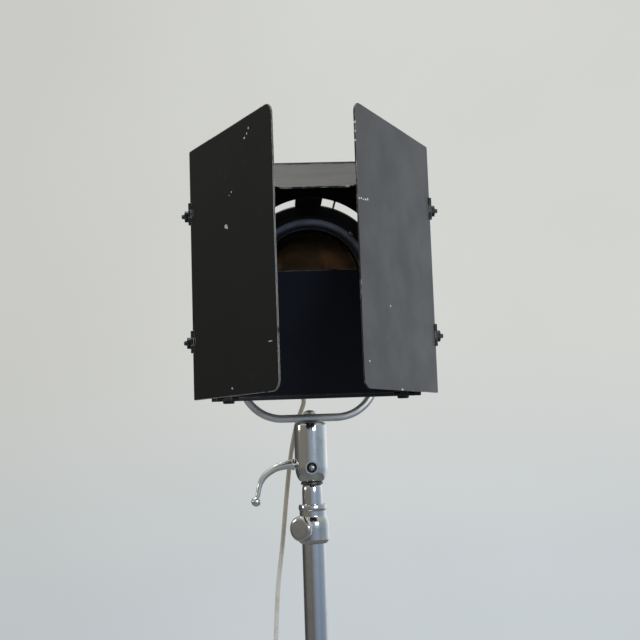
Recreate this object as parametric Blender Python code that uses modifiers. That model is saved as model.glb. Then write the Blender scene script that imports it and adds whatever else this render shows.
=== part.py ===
"""Spotlight floor lamp with a four-leaf barn door, on a telescopic stand. Metres, +Z up, the lamp faces -Y.

The floor is Z = 0 and the stand's tubes are centred on X = Y = 0. The head is modelled level, about an empty
on the tilt axis, and each leaf of the barn door about an empty on its own hinge.
"""

import math

import bmesh
import bpy
from mathutils import Matrix, Vector

GAP = 0.0003  # clearance between pieces that touch or slide
SHEET = 0.0012  # sheet metal of the leaves, door plate, housing and covers
CUT = 0.004  # how far a cutter runs past the wall it cuts

# Stand
HEAD_HEIGHT = 1.420  # tilt axis above the floor
INNER_TUBE_RADIUS = 0.010
INNER_TUBE_WALL = 0.0015
INNER_TUBE_LENGTH = 0.870
OUTER_TUBE_RADIUS = 0.0115
OUTER_TUBE_BOTTOM = 0.050
COLLAR_DROP = 0.2041  # tilt axis down to the collar's rim
COLLAR_HEIGHT = 0.0376
COLLAR_RADIUS = 0.0158
COLLAR_RIM = 0.0140
COLLAR_LIP = 0.0045  # depth of the lip over the outer tube's end
HUB_TOP = 0.135
HUB_BOTTOM = 0.040
HUB_RADIUS = 0.030
LEG_RADIUS = 0.0075
LEG_HEIGHT = 0.078  # where a leg enters the hub
LEG_FALL = 0.020  # how much lower a leg is before it turns down into its foot
LEG_BEND = 0.028
BASE_REACH = 0.293  # stand's axis to the middle of each foot
FOOT_RADIUS = 0.0125
FOOT_HEIGHT = 0.030
FOOT_SOLE = 0.006

# Clamp knob on the collar
KNOB_RADIUS = 0.0122
KNOB_THICKNESS = 0.008
KNOB_TURN = math.radians(38)  # from the front towards the left
KNOB_DROP = 0.2262

# Swivel adapter and yoke
ADAPTER_RADIUS = 0.0162
ADAPTER_LENGTH = 0.058
SPIGOT_RADIUS = 0.008
SPIGOT_FLANGE = 0.0108
SPIGOT_FLANGE_THICKNESS = 0.0025
SPIGOT_HEIGHT = 0.0365  # pin above its flange
LEVER_DROP = 0.1650  # tilt axis down to the clamp lever's axis
LEVER_STUD = 0.003
RECESS_DROP = 0.1685
RECESS_RADIUS = 0.0063
RECESS_DEPTH = 0.0062
RECESS_SCREW = 0.0032
YOKE_THICKNESS = 0.0075
YOKE_DEPTH = 0.022
YOKE_DROP = 0.1164  # tilt axis down to the inside of the yoke's foot
YOKE_CORNER = 0.0365  # inner corner radius
YOKE_EYE = 0.0135
BOLT_RADIUS = 0.004
BOLT_HEAD = 0.0065
BOLT_HEAD_HEIGHT = 0.0038
TILT_KNOB_RADIUS = 0.0165
TILT_KNOB_LENGTH = 0.017

# Housing
HOUSING_RADIUS = 0.0605
HOUSING_FRONT = -0.1232
HOUSING_REAR = 0.076
PIVOT_BOSS = 0.011
PIVOT_BOSS_PROUD = 0.0022
RING_PROUD = 0.0053  # front ring's flange beyond the housing
RING_THICKNESS = 0.0055
RING_MOUTH = 0.0505
RING_LIP = 0.0440
RING_LIP_DEPTH = 0.0155
RING_SLEEVE = 0.029
LENS_RIM = 0.004
LENS_BULGE = 0.010
RETAINER_RADIUS = 0.0011
COVER_DOME = 0.012
COVER_HINGE_RAISE = 0.004  # cover hinge axis above the housing
COVER_EAR_INSIDE = 0.0100
COVER_EAR_THICKNESS = 0.0040
GLAND_NECK = 0.0058
COVER_OPEN_SLOTS = 4
COWL_RAISE = 0.006
COWL_HALF_ANGLE = math.radians(38)
COWL_FRONT = -0.085
COWL_REAR = 0.045
GLAND_X = -0.0045
GLAND_Y = 0.045
GLAND_RADIUS = 0.009
GLAND_LENGTH = 0.013
RELIEF_LENGTH = 0.0245

# Lamp carriage
FILAMENT_Y = -0.020
TRAY_DROP = 0.653 * HOUSING_RADIUS  # lamp axis down to the top of the tray
TRAY_WIDTH = 1.058 * HOUSING_RADIUS
TRAY_FRONT = -0.052
TRAY_REAR = 0.028
FOCUS_FORWARD = 0.035
FOCUS_BACK = 0.030
FOCUS_Y = -0.036
FOCUS_STUD = 0.003
FOCUS_SLOT_CLEARANCE = 0.0005
BULB_RADIUS = 0.0125
BULB_TOP = 0.030
REFLECTOR_RADIUS = 0.042
REFLECTOR_RIM = TRAY_DROP - 0.0055

# Barn door
HINGE_PLANE_AHEAD = 0.175  # hinge plane in front of the tilt axis
DOOR_WIDTH = 0.200  # between the side leaves' hinge axes
TOP_HINGE = 0.0895  # top leaf's hinge above the lamp axis
BOTTOM_HINGE = -0.1058
SIDE_LEAF_HEIGHT = 0.208
SIDE_LEAF_REACH = 0.1465
SIDE_LEAF_MIDDLE = -0.002
LEFT_FOLD = math.radians(28.1)  # inwards from straight ahead
RIGHT_FOLD = math.radians(29.4)
END_LEAF_REACH = 0.1175
END_LEAF_HINGE_WIDTH = 0.180
TOP_LEAF_TIP_WIDTH = 0.0526
BOTTOM_LEAF_TIP_WIDTH = 0.064
TOP_FOLD = math.radians(23.2)
BOTTOM_FOLD = math.radians(52.8)
PLATE_SETBACK = 0.004  # hinge plane to the plate's front face
PLATE_DEPTH = 0.014
PLATE_APERTURE = 0.0620
HINGE_STANDOFF = 0.0025  # hinge axis outside the plate's flange
HINGE_LENGTH = 0.018
HINGE_SCREW_Y = 0.0095  # screw behind the hinge axis
HINGE_SCREW_RADIUS = 0.0020
KNUCKLE_RADIUS = 0.0021
BARREL_RADIUS = 0.0018  # rolled edge of the top and bottom leaves
LEAF_KNUCKLE_LENGTH = 0.006
PIN_RADIUS = 0.0009
SIDE_HINGES = (0.049, -0.058)  # heights from the lamp axis
END_HINGES = (0.0725, -0.0725)  # along the top and bottom leaves
BRACKET_WIDTH = 0.023
WIRE_X = 0.0224
WIRE_RADIUS = 0.001

# Lead
LEAD_RADIUS = 0.0023
COIL_RADIUS = 0.0275  # middle of the turns
COIL_HALF_WIDTH = 0.0075
COIL_HEIGHT = 0.0152
COIL_CENTRE = (-0.170, 0.205)
SWITCH_CENTRE = (-0.188, 0.076)
SWITCH_HEADING = math.radians(205)  # from +X, the way the lead runs through it
SWITCH_SIZE = (0.058, 0.024, 0.017)
SWITCH_ENTRY = 0.0068  # height of the lead where it enters the switch
ROCKER_SIZE = (0.0188, 0.0100, 0.008)
ROCKER_TILT = math.radians(7)
PLUG_HEIGHT = 0.0137
PLUG_WIDTH = 0.0350
PLUG_LENGTH = 0.033
PLUG_BOOT = 0.022
PLUG_HEADING = math.radians(-35)  # from +X, the way the pins point
PIN_SPACING = 0.019
PLUG_PIN_RADIUS = 0.002
PLUG_PIN_LENGTH = 0.019

# Where the lead hangs, from the strain relief to the switch. Its heights stretch with the head's height.
LEAD_STILL = 0.150  # below this the lead stays where it is
LEAD_ROUTE = [
    (-0.0045, 0.0450, 1.3206),
    (-0.0047, 0.0450, 1.3150),
    (-0.0120, 0.0452, 1.2950),
    (-0.0190, 0.0455, 1.2640),
    (-0.0243, 0.0460, 1.2260),
    (-0.0303, 0.0465, 1.1740),
    (-0.0363, 0.0470, 1.1285),
    (-0.0397, 0.0475, 1.0794),
    (-0.0430, 0.0480, 1.0200),
    (-0.0490, 0.0500, 0.9000),
    (-0.0550, 0.0520, 0.7200),
    (-0.0590, 0.0560, 0.5000),
    (-0.0620, 0.0620, 0.3000),
    (-0.0660, 0.0720, 0.1500),
    (-0.0700, 0.0810, 0.0800),
    (-0.0790, 0.0910, 0.0330),
    (-0.0960, 0.0990, 0.0080),
    (-0.1200, 0.1030, 0.0030),
    (-0.1400, 0.0975, 0.0040),
]
LEAD_SPLITS = (1.020, 0.720)  # heights where the lead passes from one stretch to the next
# From the switch to the coil
FLOOR_ROUTE = [
    (-0.2252, 0.0586, 0.0056),
    (-0.2364, 0.0566, 0.0038),
    (-0.2471, 0.0605, 0.0028),
    (-0.2544, 0.0692, 0.0028),
    (-0.2564, 0.0804, 0.0028),
    (-0.2525, 0.0911, 0.0028),
    (-0.2311, 0.1216, 0.0028),
    (-0.2098, 0.1520, 0.0028),
    (-0.2045, 0.1629, 0.0028),
    (-0.2026, 0.1749, 0.0028),
]


def new_collection(name, hidden=False):
    collection = bpy.data.collections.new(name)
    bpy.context.scene.collection.children.link(collection)
    collection.hide_render = hidden
    return collection


for old in list(bpy.data.objects):
    bpy.data.objects.remove(old)
LAMP = new_collection("spotlight_floor_lamp")
CUTTERS = new_collection("cutters", hidden=True)


def material(name, colour, roughness, metallic):
    made = bpy.data.materials.new(name)
    made.use_nodes = True
    shader = made.node_tree.nodes["Principled BSDF"]
    shader.inputs["Base Color"].default_value = (*colour, 1)
    shader.inputs["Roughness"].default_value = roughness
    shader.inputs["Metallic"].default_value = metallic
    return made


BLACK_PAINT = material("black_paint", (0.022, 0.023, 0.025), 0.45, 0.0)
BRIGHT_METAL = material("bright_metal", (0.62, 0.63, 0.62), 0.22, 1.0)
STEEL = material("steel", (0.45, 0.45, 0.44), 0.35, 1.0)
DARK_SCREW = material("dark_screw", (0.06, 0.06, 0.06), 0.4, 1.0)
MIRROR = material("reflector_mirror", (0.80, 0.72, 0.60), 0.12, 1.0)
GLASS = material("glass", (0.42, 0.33, 0.24), 0.05, 0.0)
CERAMIC = material("ceramic", (0.75, 0.72, 0.66), 0.5, 0.0)
BAKELITE = material("black_bakelite", (0.02, 0.02, 0.02), 0.3, 0.0)
RUBBER = material("black_rubber", (0.02, 0.02, 0.02), 0.8, 0.0)
IVORY = material("ivory_pvc", (0.62, 0.57, 0.45), 0.45, 0.0)
IRON = material("base_casting", (0.30, 0.30, 0.30), 0.35, 1.0)


def axis_empty(name, location, parent=None, turn=(0, 0, 0)):
    """An empty on a joint's axis. Its pieces are placed from it."""
    empty = bpy.data.objects.new(name, None)
    LAMP.objects.link(empty)
    empty.empty_display_size = 0.02
    empty.location = location
    empty.rotation_euler = turn
    empty.parent = parent
    return empty


def piece(name, data, parent, paint, location=(0, 0, 0), turn=(0, 0, 0)):
    obj = bpy.data.objects.new(name, data)
    LAMP.objects.link(obj)
    obj.parent = parent
    obj.location = location
    obj.rotation_euler = turn
    if paint:
        data.materials.append(paint)
    return obj


def mesh_from(name, build):
    """A mesh made by build(bm), shaded smooth between its sharp edges."""
    bm = bmesh.new()
    build(bm)
    bmesh.ops.recalc_face_normals(bm, faces=bm.faces)
    data = bpy.data.meshes.new(name)
    bm.to_mesh(data)
    bm.free()
    data.shade_smooth()
    data.set_sharp_from_angle(angle=math.radians(35))
    return data


def add_box(bm, low, high):
    low, high = Vector(low), Vector(high)
    made = bmesh.ops.create_cube(bm, size=1)["verts"]
    bmesh.ops.scale(bm, vec=high - low, verts=made)
    bmesh.ops.translate(bm, vec=(low + high) / 2, verts=made)
    return made


def add_rod(bm, start, end, radius, end_radius=None, sides=24):
    """A cylinder, or a cone, from start to end."""
    start, end = Vector(start), Vector(end)
    along = end - start
    turn = Vector((0, 0, 1)).rotation_difference(along.normalized()).to_matrix().to_4x4()
    place = Matrix.Translation((start + end) / 2) @ turn
    bmesh.ops.create_cone(
        bm,
        cap_ends=True,
        segments=sides,
        radius1=radius,
        radius2=radius if end_radius is None else end_radius,
        depth=along.length,
        matrix=place,
    )


def box(name, parent, paint, low, high, bevel=0.0, **place):
    obj = piece(name, mesh_from(name, lambda bm: add_box(bm, low, high)), parent, paint, **place)
    if bevel:
        rounded_edges(obj, bevel)
    return obj


def rod(name, parent, paint, start, end, radius, end_radius=None, sides=24, **place):
    data = mesh_from(name, lambda bm: add_rod(bm, start, end, radius, end_radius, sides))
    return piece(name, data, parent, paint, **place)


def rounded_edges(obj, width, segments=2, angle=40):
    bevel = obj.modifiers.new("rounded_edges", "BEVEL")
    bevel.width = width
    bevel.segments = segments
    bevel.limit_method = "ANGLE"
    bevel.angle_limit = math.radians(angle)
    return bevel


def turned(name, parent, paint, profile, steps=32, ring=False, **place):
    """A turned piece. Its profile of (radius, height) points runs down the outer side; a ring's profile closes."""

    def outline(bm):
        points = [bm.verts.new((r, 0, h)) for r, h in profile]
        for first, second in zip(points, points[1:]):
            bm.edges.new((first, second))
        if ring:
            bm.edges.new((points[-1], points[0]))

    bm = bmesh.new()
    outline(bm)
    data = bpy.data.meshes.new(name)
    bm.to_mesh(data)
    bm.free()
    obj = piece(name, data, parent, paint, **place)
    screw = obj.modifiers.new("turned", "SCREW")
    screw.steps = steps
    screw.render_steps = steps
    screw.use_merge_vertices = True
    screw.merge_threshold = 0.00005
    screw.use_smooth_shade = True
    return obj


FACING_BACK = (math.radians(-90), 0, 0)  # turns a piece's own +Z to the head's +Y
FACING_RIGHT = (0, math.radians(90), 0)  # turns a piece's own +Z to +X


def poly_curve(name, points, radius, resolution=2, radii=None, closed=False):
    data = bpy.data.curves.new(name, "CURVE")
    data.dimensions = "3D"
    data.bevel_depth = radius
    data.bevel_resolution = resolution
    data.use_fill_caps = True
    spline = data.splines.new("POLY")
    spline.points.add(len(points) - 1)
    for at, point in enumerate(points):
        spline.points[at].co = (*point, 1)
        spline.points[at].radius = radii[at] if radii else 1
    spline.use_cyclic_u = closed
    return data


def wire(name, parent, paint, points, radius, resolution=2, radii=None, **place):
    return piece(name, poly_curve(name, points, radius, resolution, radii), parent, paint, **place)


def flat(name, parent, paint, points, thickness, **place):
    """A flat outline in its own XY plane, half its thickness to each side."""
    data = bpy.data.curves.new(name, "CURVE")
    data.dimensions = "2D"
    data.fill_mode = "BOTH"
    data.extrude = thickness / 2
    spline = data.splines.new("POLY")
    spline.points.add(len(points) - 1)
    for at, (x, y) in enumerate(points):
        spline.points[at].co = (x, y, 0, 1)
    spline.use_cyclic_u = True
    return as_mesh(piece(name, data, parent, paint, **place))


def as_mesh(obj):
    """The same object as a mesh, so that it can be cut and joined."""
    bpy.context.view_layer.update()
    evaluated = obj.evaluated_get(bpy.context.evaluated_depsgraph_get())
    data = bpy.data.meshes.new_from_object(evaluated)
    bm = bmesh.new()
    bm.from_mesh(data)
    bmesh.ops.remove_doubles(bm, verts=bm.verts, dist=0.00001)
    bmesh.ops.recalc_face_normals(bm, faces=bm.faces)
    bm.to_mesh(data)
    bm.free()
    data.shade_smooth()
    data.set_sharp_from_angle(angle=math.radians(35))
    name, parent, world = obj.name, obj.parent, obj.matrix_world.copy()
    bpy.data.objects.remove(obj)
    made = bpy.data.objects.new(name, data)
    LAMP.objects.link(made)
    made.parent = parent
    bpy.context.view_layer.update()
    made.matrix_world = world
    return made


def boolean(obj, other, operation):
    """Cuts other from obj, or joins it to obj. other becomes a helper that no render shows."""
    LAMP.objects.unlink(other)
    CUTTERS.objects.link(other)
    other.name = obj.name + "_tool"
    other.hide_render = True
    other.display_type = "WIRE"
    step = obj.modifiers.new(operation.lower(), "BOOLEAN")
    step.operation = operation
    step.solver = "EXACT"
    step.object = other
    return obj


def cut(obj, *others):
    for other in others:
        boolean(obj, other, "DIFFERENCE")
    return obj


def join(obj, *others):
    for other in others:
        boolean(obj, other, "UNION")
    return obj


def arc(centre, radius, start, end, count):
    """Points on a circle's arc, from one angle to another."""
    turns = [start + (end - start) * step / (count - 1) for step in range(count)]
    return [(centre[0] + radius * math.cos(t), centre[1] + radius * math.sin(t)) for t in turns]


def rounded(corners, radii, count=5):
    """The outline with each corner rounded to its radius."""
    outline = []
    for at, (corner, radius) in enumerate(zip(corners, radii)):
        here = Vector(corner)
        before = (Vector(corners[at - 1]) - here).normalized()
        after = (Vector(corners[(at + 1) % len(corners)]) - here).normalized()
        if radius <= 0:
            outline.append(tuple(here))
            continue
        half = before.angle(after) / 2
        away = radius / math.tan(half)
        centre = here + (before + after).normalized() * radius / math.sin(half)
        first, last = here + before * away - centre, here + after * away - centre
        sweep = first.angle_signed(last)
        for step in range(count):
            share = -sweep * step / (count - 1)
            outline.append(tuple(centre + Matrix.Rotation(share, 2) @ first))
    return outline


def smooth_line(points, count=12):
    """A Catmull-Rom curve through the points."""
    ends = [2 * Vector(points[0]) - Vector(points[1])]
    ends += [Vector(p) for p in points]
    ends.append(2 * Vector(points[-1]) - Vector(points[-2]))
    line = []
    for a, b, c, d in zip(ends, ends[1:], ends[2:], ends[3:]):
        for step in range(count):
            t = step / count
            curve = 2 * b + (c - a) * t + (2 * a - 5 * b + 4 * c - d) * t * t
            line.append((curve + (3 * b - a - 3 * c + d) * t**3) / 2)
    return line + [Vector(points[-1])]


def thinned(line, turn=0.16, reach=0.045):
    """The line with fewer points: closer together where it bends, and a short straight piece at each end."""
    points, heading = [line[0], line[1]], (line[1] - line[0]).normalized()
    for here, ahead in zip(line[2:], line[3:]):
        bend = (ahead - here).normalized().angle(heading)
        if bend > turn or (here - points[-1]).length > reach:
            points.append(here)
            heading = (ahead - here).normalized()
    if (points[-1] - line[-2]).length < 0.002:
        points.pop()
    return points + [line[-2], line[-1]]


# Base and stand


def make_base(root):
    bore = OUTER_TUBE_RADIUS + GAP
    floor = OUTER_TUBE_BOTTOM - GAP
    profile = [
        (0, floor),
        (bore, floor),
        (bore, HUB_TOP),
        (bore + 0.0040, HUB_TOP),
        (bore + 0.0060, HUB_TOP - 0.004),
        (bore + 0.0075, LEG_HEIGHT + 0.024),
        (HUB_RADIUS - 0.0060, LEG_HEIGHT + 0.017),
        (HUB_RADIUS, LEG_HEIGHT + 0.012),
        (HUB_RADIUS, LEG_HEIGHT - 0.014),
        (HUB_RADIUS - 0.005, LEG_HEIGHT - 0.022),
        (bore + 0.0050, HUB_BOTTOM + 0.004),
        (bore + 0.0020, HUB_BOTTOM),
        (0, HUB_BOTTOM),
    ]
    hub = turned("base_hub", root, IRON, profile, steps=24)
    socket = bore + 0.0040
    for name, angle in (("rear", 90), ("left", 210), ("right", 330)):
        turn = (0, 0, math.radians(angle))
        hole = rod(
            "socket",
            root,
            None,
            (socket, 0, LEG_HEIGHT),
            (HUB_RADIUS + CUT, 0, LEG_HEIGHT),
            LEG_RADIUS + GAP,
            turn=turn,
        )
        cut(hub, hole)
        wire("leg_" + name, root, BRIGHT_METAL, leg_line(socket + GAP), LEG_RADIUS, 4, turn=turn)
        make_foot("foot_" + name, root, turn)


def leg_line(start):
    """A leg's middle line: out of the hub, gently down, and round into its foot."""
    bend_start = BASE_REACH - LEG_BEND
    points = [(start, 0, LEG_HEIGHT)]
    first = HUB_RADIUS + 0.012
    for step in range(8):
        share = step / 7
        fall = LEG_FALL * share * share * (3 - 2 * share)
        points.append((first + (bend_start - first) * share, 0, LEG_HEIGHT - fall))
    bend_height = LEG_HEIGHT - LEG_FALL - LEG_BEND
    for r, z in arc((bend_start, bend_height), LEG_BEND, math.pi / 2, 0, 7)[1:]:
        points.append((r, 0, z))
    points.append((BASE_REACH, 0, FOOT_SOLE + GAP))
    return points


def make_foot(name, root, turn):
    socket = LEG_RADIUS + GAP
    profile = [
        (0, FOOT_SOLE),
        (socket, FOOT_SOLE),
        (socket, FOOT_HEIGHT),
        (FOOT_RADIUS - 0.0025, FOOT_HEIGHT),
        (FOOT_RADIUS - 0.0010, FOOT_HEIGHT - 0.003),
        (FOOT_RADIUS, FOOT_SOLE),
        (FOOT_RADIUS, 0.0015),
        (FOOT_RADIUS - 0.0015, 0),
        (0, 0),
    ]
    at = Matrix.Rotation(turn[2], 3, "Z") @ Vector((BASE_REACH, 0, 0))
    turned(name, root, RUBBER, profile, steps=16, location=at)


def make_stand(root):
    inside = INNER_TUBE_RADIUS + GAP
    collar_top = HEAD_HEIGHT - COLLAR_DROP
    tube_top = collar_top - COLLAR_LIP - GAP
    profile = [
        (inside, tube_top),
        (OUTER_TUBE_RADIUS, tube_top),
        (OUTER_TUBE_RADIUS, OUTER_TUBE_BOTTOM),
        (inside, OUTER_TUBE_BOTTOM),
    ]
    tube = turned("outer_tube", root, BRIGHT_METAL, profile, steps=24, ring=True)
    bore = OUTER_TUBE_RADIUS + GAP
    bottom = collar_top - COLLAR_HEIGHT
    profile = [
        (inside, collar_top),
        (COLLAR_RIM, collar_top),
        (COLLAR_RIM, collar_top - 0.0035),
        (COLLAR_RIM - 0.0008, collar_top - 0.0050),
        (COLLAR_RIM - 0.0008, collar_top - 0.0120),
        (COLLAR_RADIUS, collar_top - 0.0165),
        (COLLAR_RADIUS, bottom + 0.0030),
        (bore + 0.0007, bottom),
        (bore, bottom),
        (bore, collar_top - COLLAR_LIP),
        (inside, collar_top - COLLAR_LIP),
    ]
    collar = turned("tube_collar", root, BRIGHT_METAL, profile, steps=24, ring=True)
    knob_axis = axis_empty(
        "collar_knob_axis", (0, 0, HEAD_HEIGHT - KNOB_DROP), root, (0, 0, -KNOB_TURN)
    )
    stud = 0.003
    for target in (tube, collar):
        hole = rod(
            "stud_hole",
            knob_axis,
            None,
            (0, -INNER_TUBE_RADIUS, 0),
            (0, -COLLAR_RADIUS - CUT, 0),
            stud + GAP,
            sides=20,
        )
        cut(target, hole)
    inner = COLLAR_RADIUS + GAP
    outer = inner + KNOB_THICKNESS
    profile = [
        (0, outer),
        (KNOB_RADIUS - 0.0040, outer),
        (KNOB_RADIUS - 0.0012, outer - 0.0012),
        (KNOB_RADIUS, outer - 0.0026),
        (KNOB_RADIUS, inner + 0.0022),
        (KNOB_RADIUS - 0.0020, inner + 0.0008),
        (stud + 0.0030, inner),
        (stud, inner),
        (stud, inside),
        (0, inside),
    ]
    turned("collar_knob", knob_axis, BRIGHT_METAL, profile, steps=20, turn=(math.radians(90), 0, 0))


def make_inner_tube(root):
    """The inner tube and the spigot in its top end, which the swivel adapter turns on."""
    top = HEAD_HEIGHT - adapter_bottom_drop() - GAP - SPIGOT_FLANGE_THICKNESS - GAP
    wall_inside = INNER_TUBE_RADIUS - INNER_TUBE_WALL
    profile = [
        (wall_inside, top),
        (INNER_TUBE_RADIUS, top),
        (INNER_TUBE_RADIUS, top - INNER_TUBE_LENGTH),
        (wall_inside, top - INNER_TUBE_LENGTH),
    ]
    turned("inner_tube", root, BRIGHT_METAL, profile, steps=20, ring=True)
    flange = top + GAP + SPIGOT_FLANGE_THICKNESS
    profile = [
        (0, flange + SPIGOT_HEIGHT),
        (SPIGOT_RADIUS - 0.0010, flange + SPIGOT_HEIGHT),
        (SPIGOT_RADIUS, flange + SPIGOT_HEIGHT - 0.0010),
        (SPIGOT_RADIUS, flange),
        (SPIGOT_FLANGE, flange),
        (SPIGOT_FLANGE, top + GAP),
        (wall_inside - GAP, top + GAP),
        (wall_inside - GAP, top - 0.020),
        (0, top - 0.020),
    ]
    turned("swivel_spigot", root, STEEL, profile, steps=16)


# Adapter, yoke and clamp lever


def adapter_top_drop():
    return YOKE_DROP + YOKE_THICKNESS + GAP


def adapter_bottom_drop():
    return adapter_top_drop() + ADAPTER_LENGTH


def make_adapter(pan):
    """Cast adapter. Its heights are drops from the tilt axis, where the pan empty is."""
    top, bottom = -adapter_top_drop(), -adapter_bottom_drop()
    bore = SPIGOT_RADIUS + GAP
    bore_top = bottom + SPIGOT_HEIGHT + 2 * GAP
    bolt_hole = BOLT_RADIUS + GAP
    profile = [
        (bolt_hole, top),
        (ADAPTER_RADIUS - 0.0050, top),
        (ADAPTER_RADIUS - 0.0015, top - 0.0015),
        (ADAPTER_RADIUS, top - 0.0050),
        (ADAPTER_RADIUS, bottom + 0.0145),
        (ADAPTER_RADIUS - 0.0007, bottom + 0.0085),
        (ADAPTER_RADIUS - 0.0026, bottom + 0.0040),
        (ADAPTER_RADIUS - 0.0055, bottom + 0.0008),
        (ADAPTER_RADIUS - 0.0062, bottom),
        (bore, bottom),
        (bore, bore_top),
        (bolt_hole, bore_top),
    ]
    adapter = turned("swivel_adapter", pan, BRIGHT_METAL, profile, steps=28, ring=True)
    recess_floor = -(ADAPTER_RADIUS - RECESS_DEPTH)
    recess = rod(
        "recess",
        pan,
        None,
        (0, recess_floor, -RECESS_DROP),
        (0, -ADAPTER_RADIUS - CUT, -RECESS_DROP),
        RECESS_RADIUS,
    )
    shank = 0.0018
    screw_hole = rod(
        "screw_hole",
        pan,
        None,
        (0, -SPIGOT_RADIUS + 0.002, -RECESS_DROP),
        (0, recess_floor - 0.001, -RECESS_DROP),
        shank + GAP,
        sides=16,
    )
    lever_hole = rod(
        "lever_hole",
        pan,
        None,
        (-SPIGOT_RADIUS + 0.002, 0, -LEVER_DROP),
        (-ADAPTER_RADIUS - CUT, 0, -LEVER_DROP),
        LEVER_STUD + GAP,
        sides=20,
    )
    cut(adapter, recess, screw_hole, lever_hole)
    head_back = -recess_floor + GAP
    head_front = ADAPTER_RADIUS - 0.0018
    profile = [
        (0, head_front),
        (RECESS_SCREW - 0.0012, head_front - 0.0002),
        (RECESS_SCREW, head_front - 0.0014),
        (RECESS_SCREW, head_back),
        (shank, head_back),
        (shank, SPIGOT_RADIUS + GAP),
        (0, SPIGOT_RADIUS + GAP),
    ]
    place = {"location": (0, 0, -RECESS_DROP), "turn": (math.radians(90), 0, 0)}
    turned("adapter_screw", pan, STEEL, profile, steps=16, **place)


def make_clamp_lever(pan):
    axis = axis_empty("clamp_lever_axis", (0, 0, -LEVER_DROP), pan)
    stud_end = -(SPIGOT_RADIUS + 2 * GAP)
    boss = -(ADAPTER_RADIUS + GAP)
    route = [
        (boss, 0.0000, 0.0046),
        (boss - 0.0035, 0.0000, 0.0047),
        (boss - 0.0105, -0.0007, 0.0042),
        (boss - 0.0165, -0.0023, 0.0038),
        (boss - 0.0215, -0.0045, 0.0035),
        (boss - 0.0290, -0.0098, 0.0032),
        (boss - 0.0338, -0.0172, 0.0028),
        (boss - 0.0365, -0.0280, 0.0024),
        (boss - 0.0380, -0.0318, 0.0023),
    ]
    thickest = max(radius for _, _, radius in route)
    points = [(x, 0, z) for x, z, _ in route]
    shares = [radius / thickest for _, _, radius in route]
    lever = as_mesh(wire("clamp_lever", axis, BRIGHT_METAL, points, thickest, 3, radii=shares))
    stud = rod("lever_stud", axis, None, (stud_end, 0, 0), (boss - 0.002, 0, 0), LEVER_STUD, sides=20)
    end = Vector(points[-1])
    ball_radius = 0.0048
    data = mesh_from(
        "ball",
        lambda bm: bmesh.ops.create_uvsphere(bm, u_segments=16, v_segments=10, radius=ball_radius),
    )
    ball = piece("lever_ball", data, axis, None, location=end + Vector((-0.0006, 0, -0.0030)))
    join(lever, stud, ball)


def yoke_inside():
    return HOUSING_RADIUS + PIVOT_BOSS_PROUD + GAP


def make_yoke(pan):
    inside = yoke_inside()
    outside = inside + YOKE_THICKNESS
    corner_x = inside - YOKE_CORNER
    corner_z = -YOKE_DROP + YOKE_CORNER
    outer = arc((corner_x, corner_z), YOKE_CORNER + YOKE_THICKNESS, 0, -math.pi / 2, 11)
    inner = arc((corner_x, corner_z), YOKE_CORNER, -math.pi / 2, 0, 11)
    right = [(outside, 0), *outer]
    right_back = [*inner, (inside, 0)]
    outline = right + [(-x, z) for x, z in reversed(right)]
    outline += [(-x, z) for x, z in reversed(right_back)] + right_back
    turn = (math.radians(90), 0, 0)
    yoke = flat("yoke", pan, BRIGHT_METAL, outline, YOKE_DEPTH, turn=turn)
    for side in (-1, 1):
        ends = (side * inside, 0, 0), (side * outside, 0, 0)
        eye = rod("eye", pan, None, *ends, YOKE_EYE, sides=28)
        join(yoke, eye)
        past = (side * (inside - CUT), 0, 0), (side * (outside + CUT), 0, 0)
        cut(yoke, rod("pivot_hole", pan, None, *past, BOLT_RADIUS + GAP, sides=20))
    foot = (0, 0, -YOKE_DROP + CUT), (0, 0, -YOKE_DROP - YOKE_THICKNESS - CUT)
    cut(yoke, rod("bolt_hole", pan, None, *foot, BOLT_RADIUS + GAP, sides=20))
    seat = -YOKE_DROP + GAP
    bolt_end = -adapter_bottom_drop() + SPIGOT_HEIGHT + 4 * GAP
    profile = [
        (0, seat + BOLT_HEAD_HEIGHT),
        (BOLT_HEAD * 0.45, seat + BOLT_HEAD_HEIGHT * 0.90),
        (BOLT_HEAD * 0.80, seat + BOLT_HEAD_HEIGHT * 0.62),
        (BOLT_HEAD, seat + BOLT_HEAD_HEIGHT * 0.20),
        (BOLT_HEAD, seat),
        (BOLT_RADIUS, seat),
        (BOLT_RADIUS, bolt_end),
        (0, bolt_end),
    ]
    turned("yoke_bolt", pan, BRIGHT_METAL, profile, steps=24)


def make_tilt_knobs(pan):
    inner = yoke_inside() + YOKE_THICKNESS + GAP
    stud_end = HOUSING_RADIUS - 0.0040
    for side, name in ((-1, "left"), (1, "right")):
        axis = axis_empty("tilt_knob_axis_" + name, (0, 0, 0), pan)
        lobes = []
        for step in range(28):
            t = 2 * math.pi * step / 28
            r = TILT_KNOB_RADIUS * (0.94 + 0.06 * math.cos(7 * t))
            lobes.append((r * math.cos(t), r * math.sin(t)))
        middle = inner + 0.0045 + (TILT_KNOB_LENGTH - 0.0045) / 2
        place = {"location": (side * middle, 0, 0), "turn": FACING_RIGHT}
        thickness = TILT_KNOB_LENGTH - 0.0045
        knob = flat("tilt_knob_" + name, axis, BAKELITE, lobes, thickness, **place)
        hub = rod("hub", axis, None, (side * inner, 0, 0), (side * (middle + 0.001), 0, 0), 0.0085)
        ends = (side * stud_end, 0, 0), (side * (middle - 0.001), 0, 0)
        stud = rod("stud", axis, None, *ends, BOLT_RADIUS, sides=20)
        join(knob, hub, stud)


# Housing and optics


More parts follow.
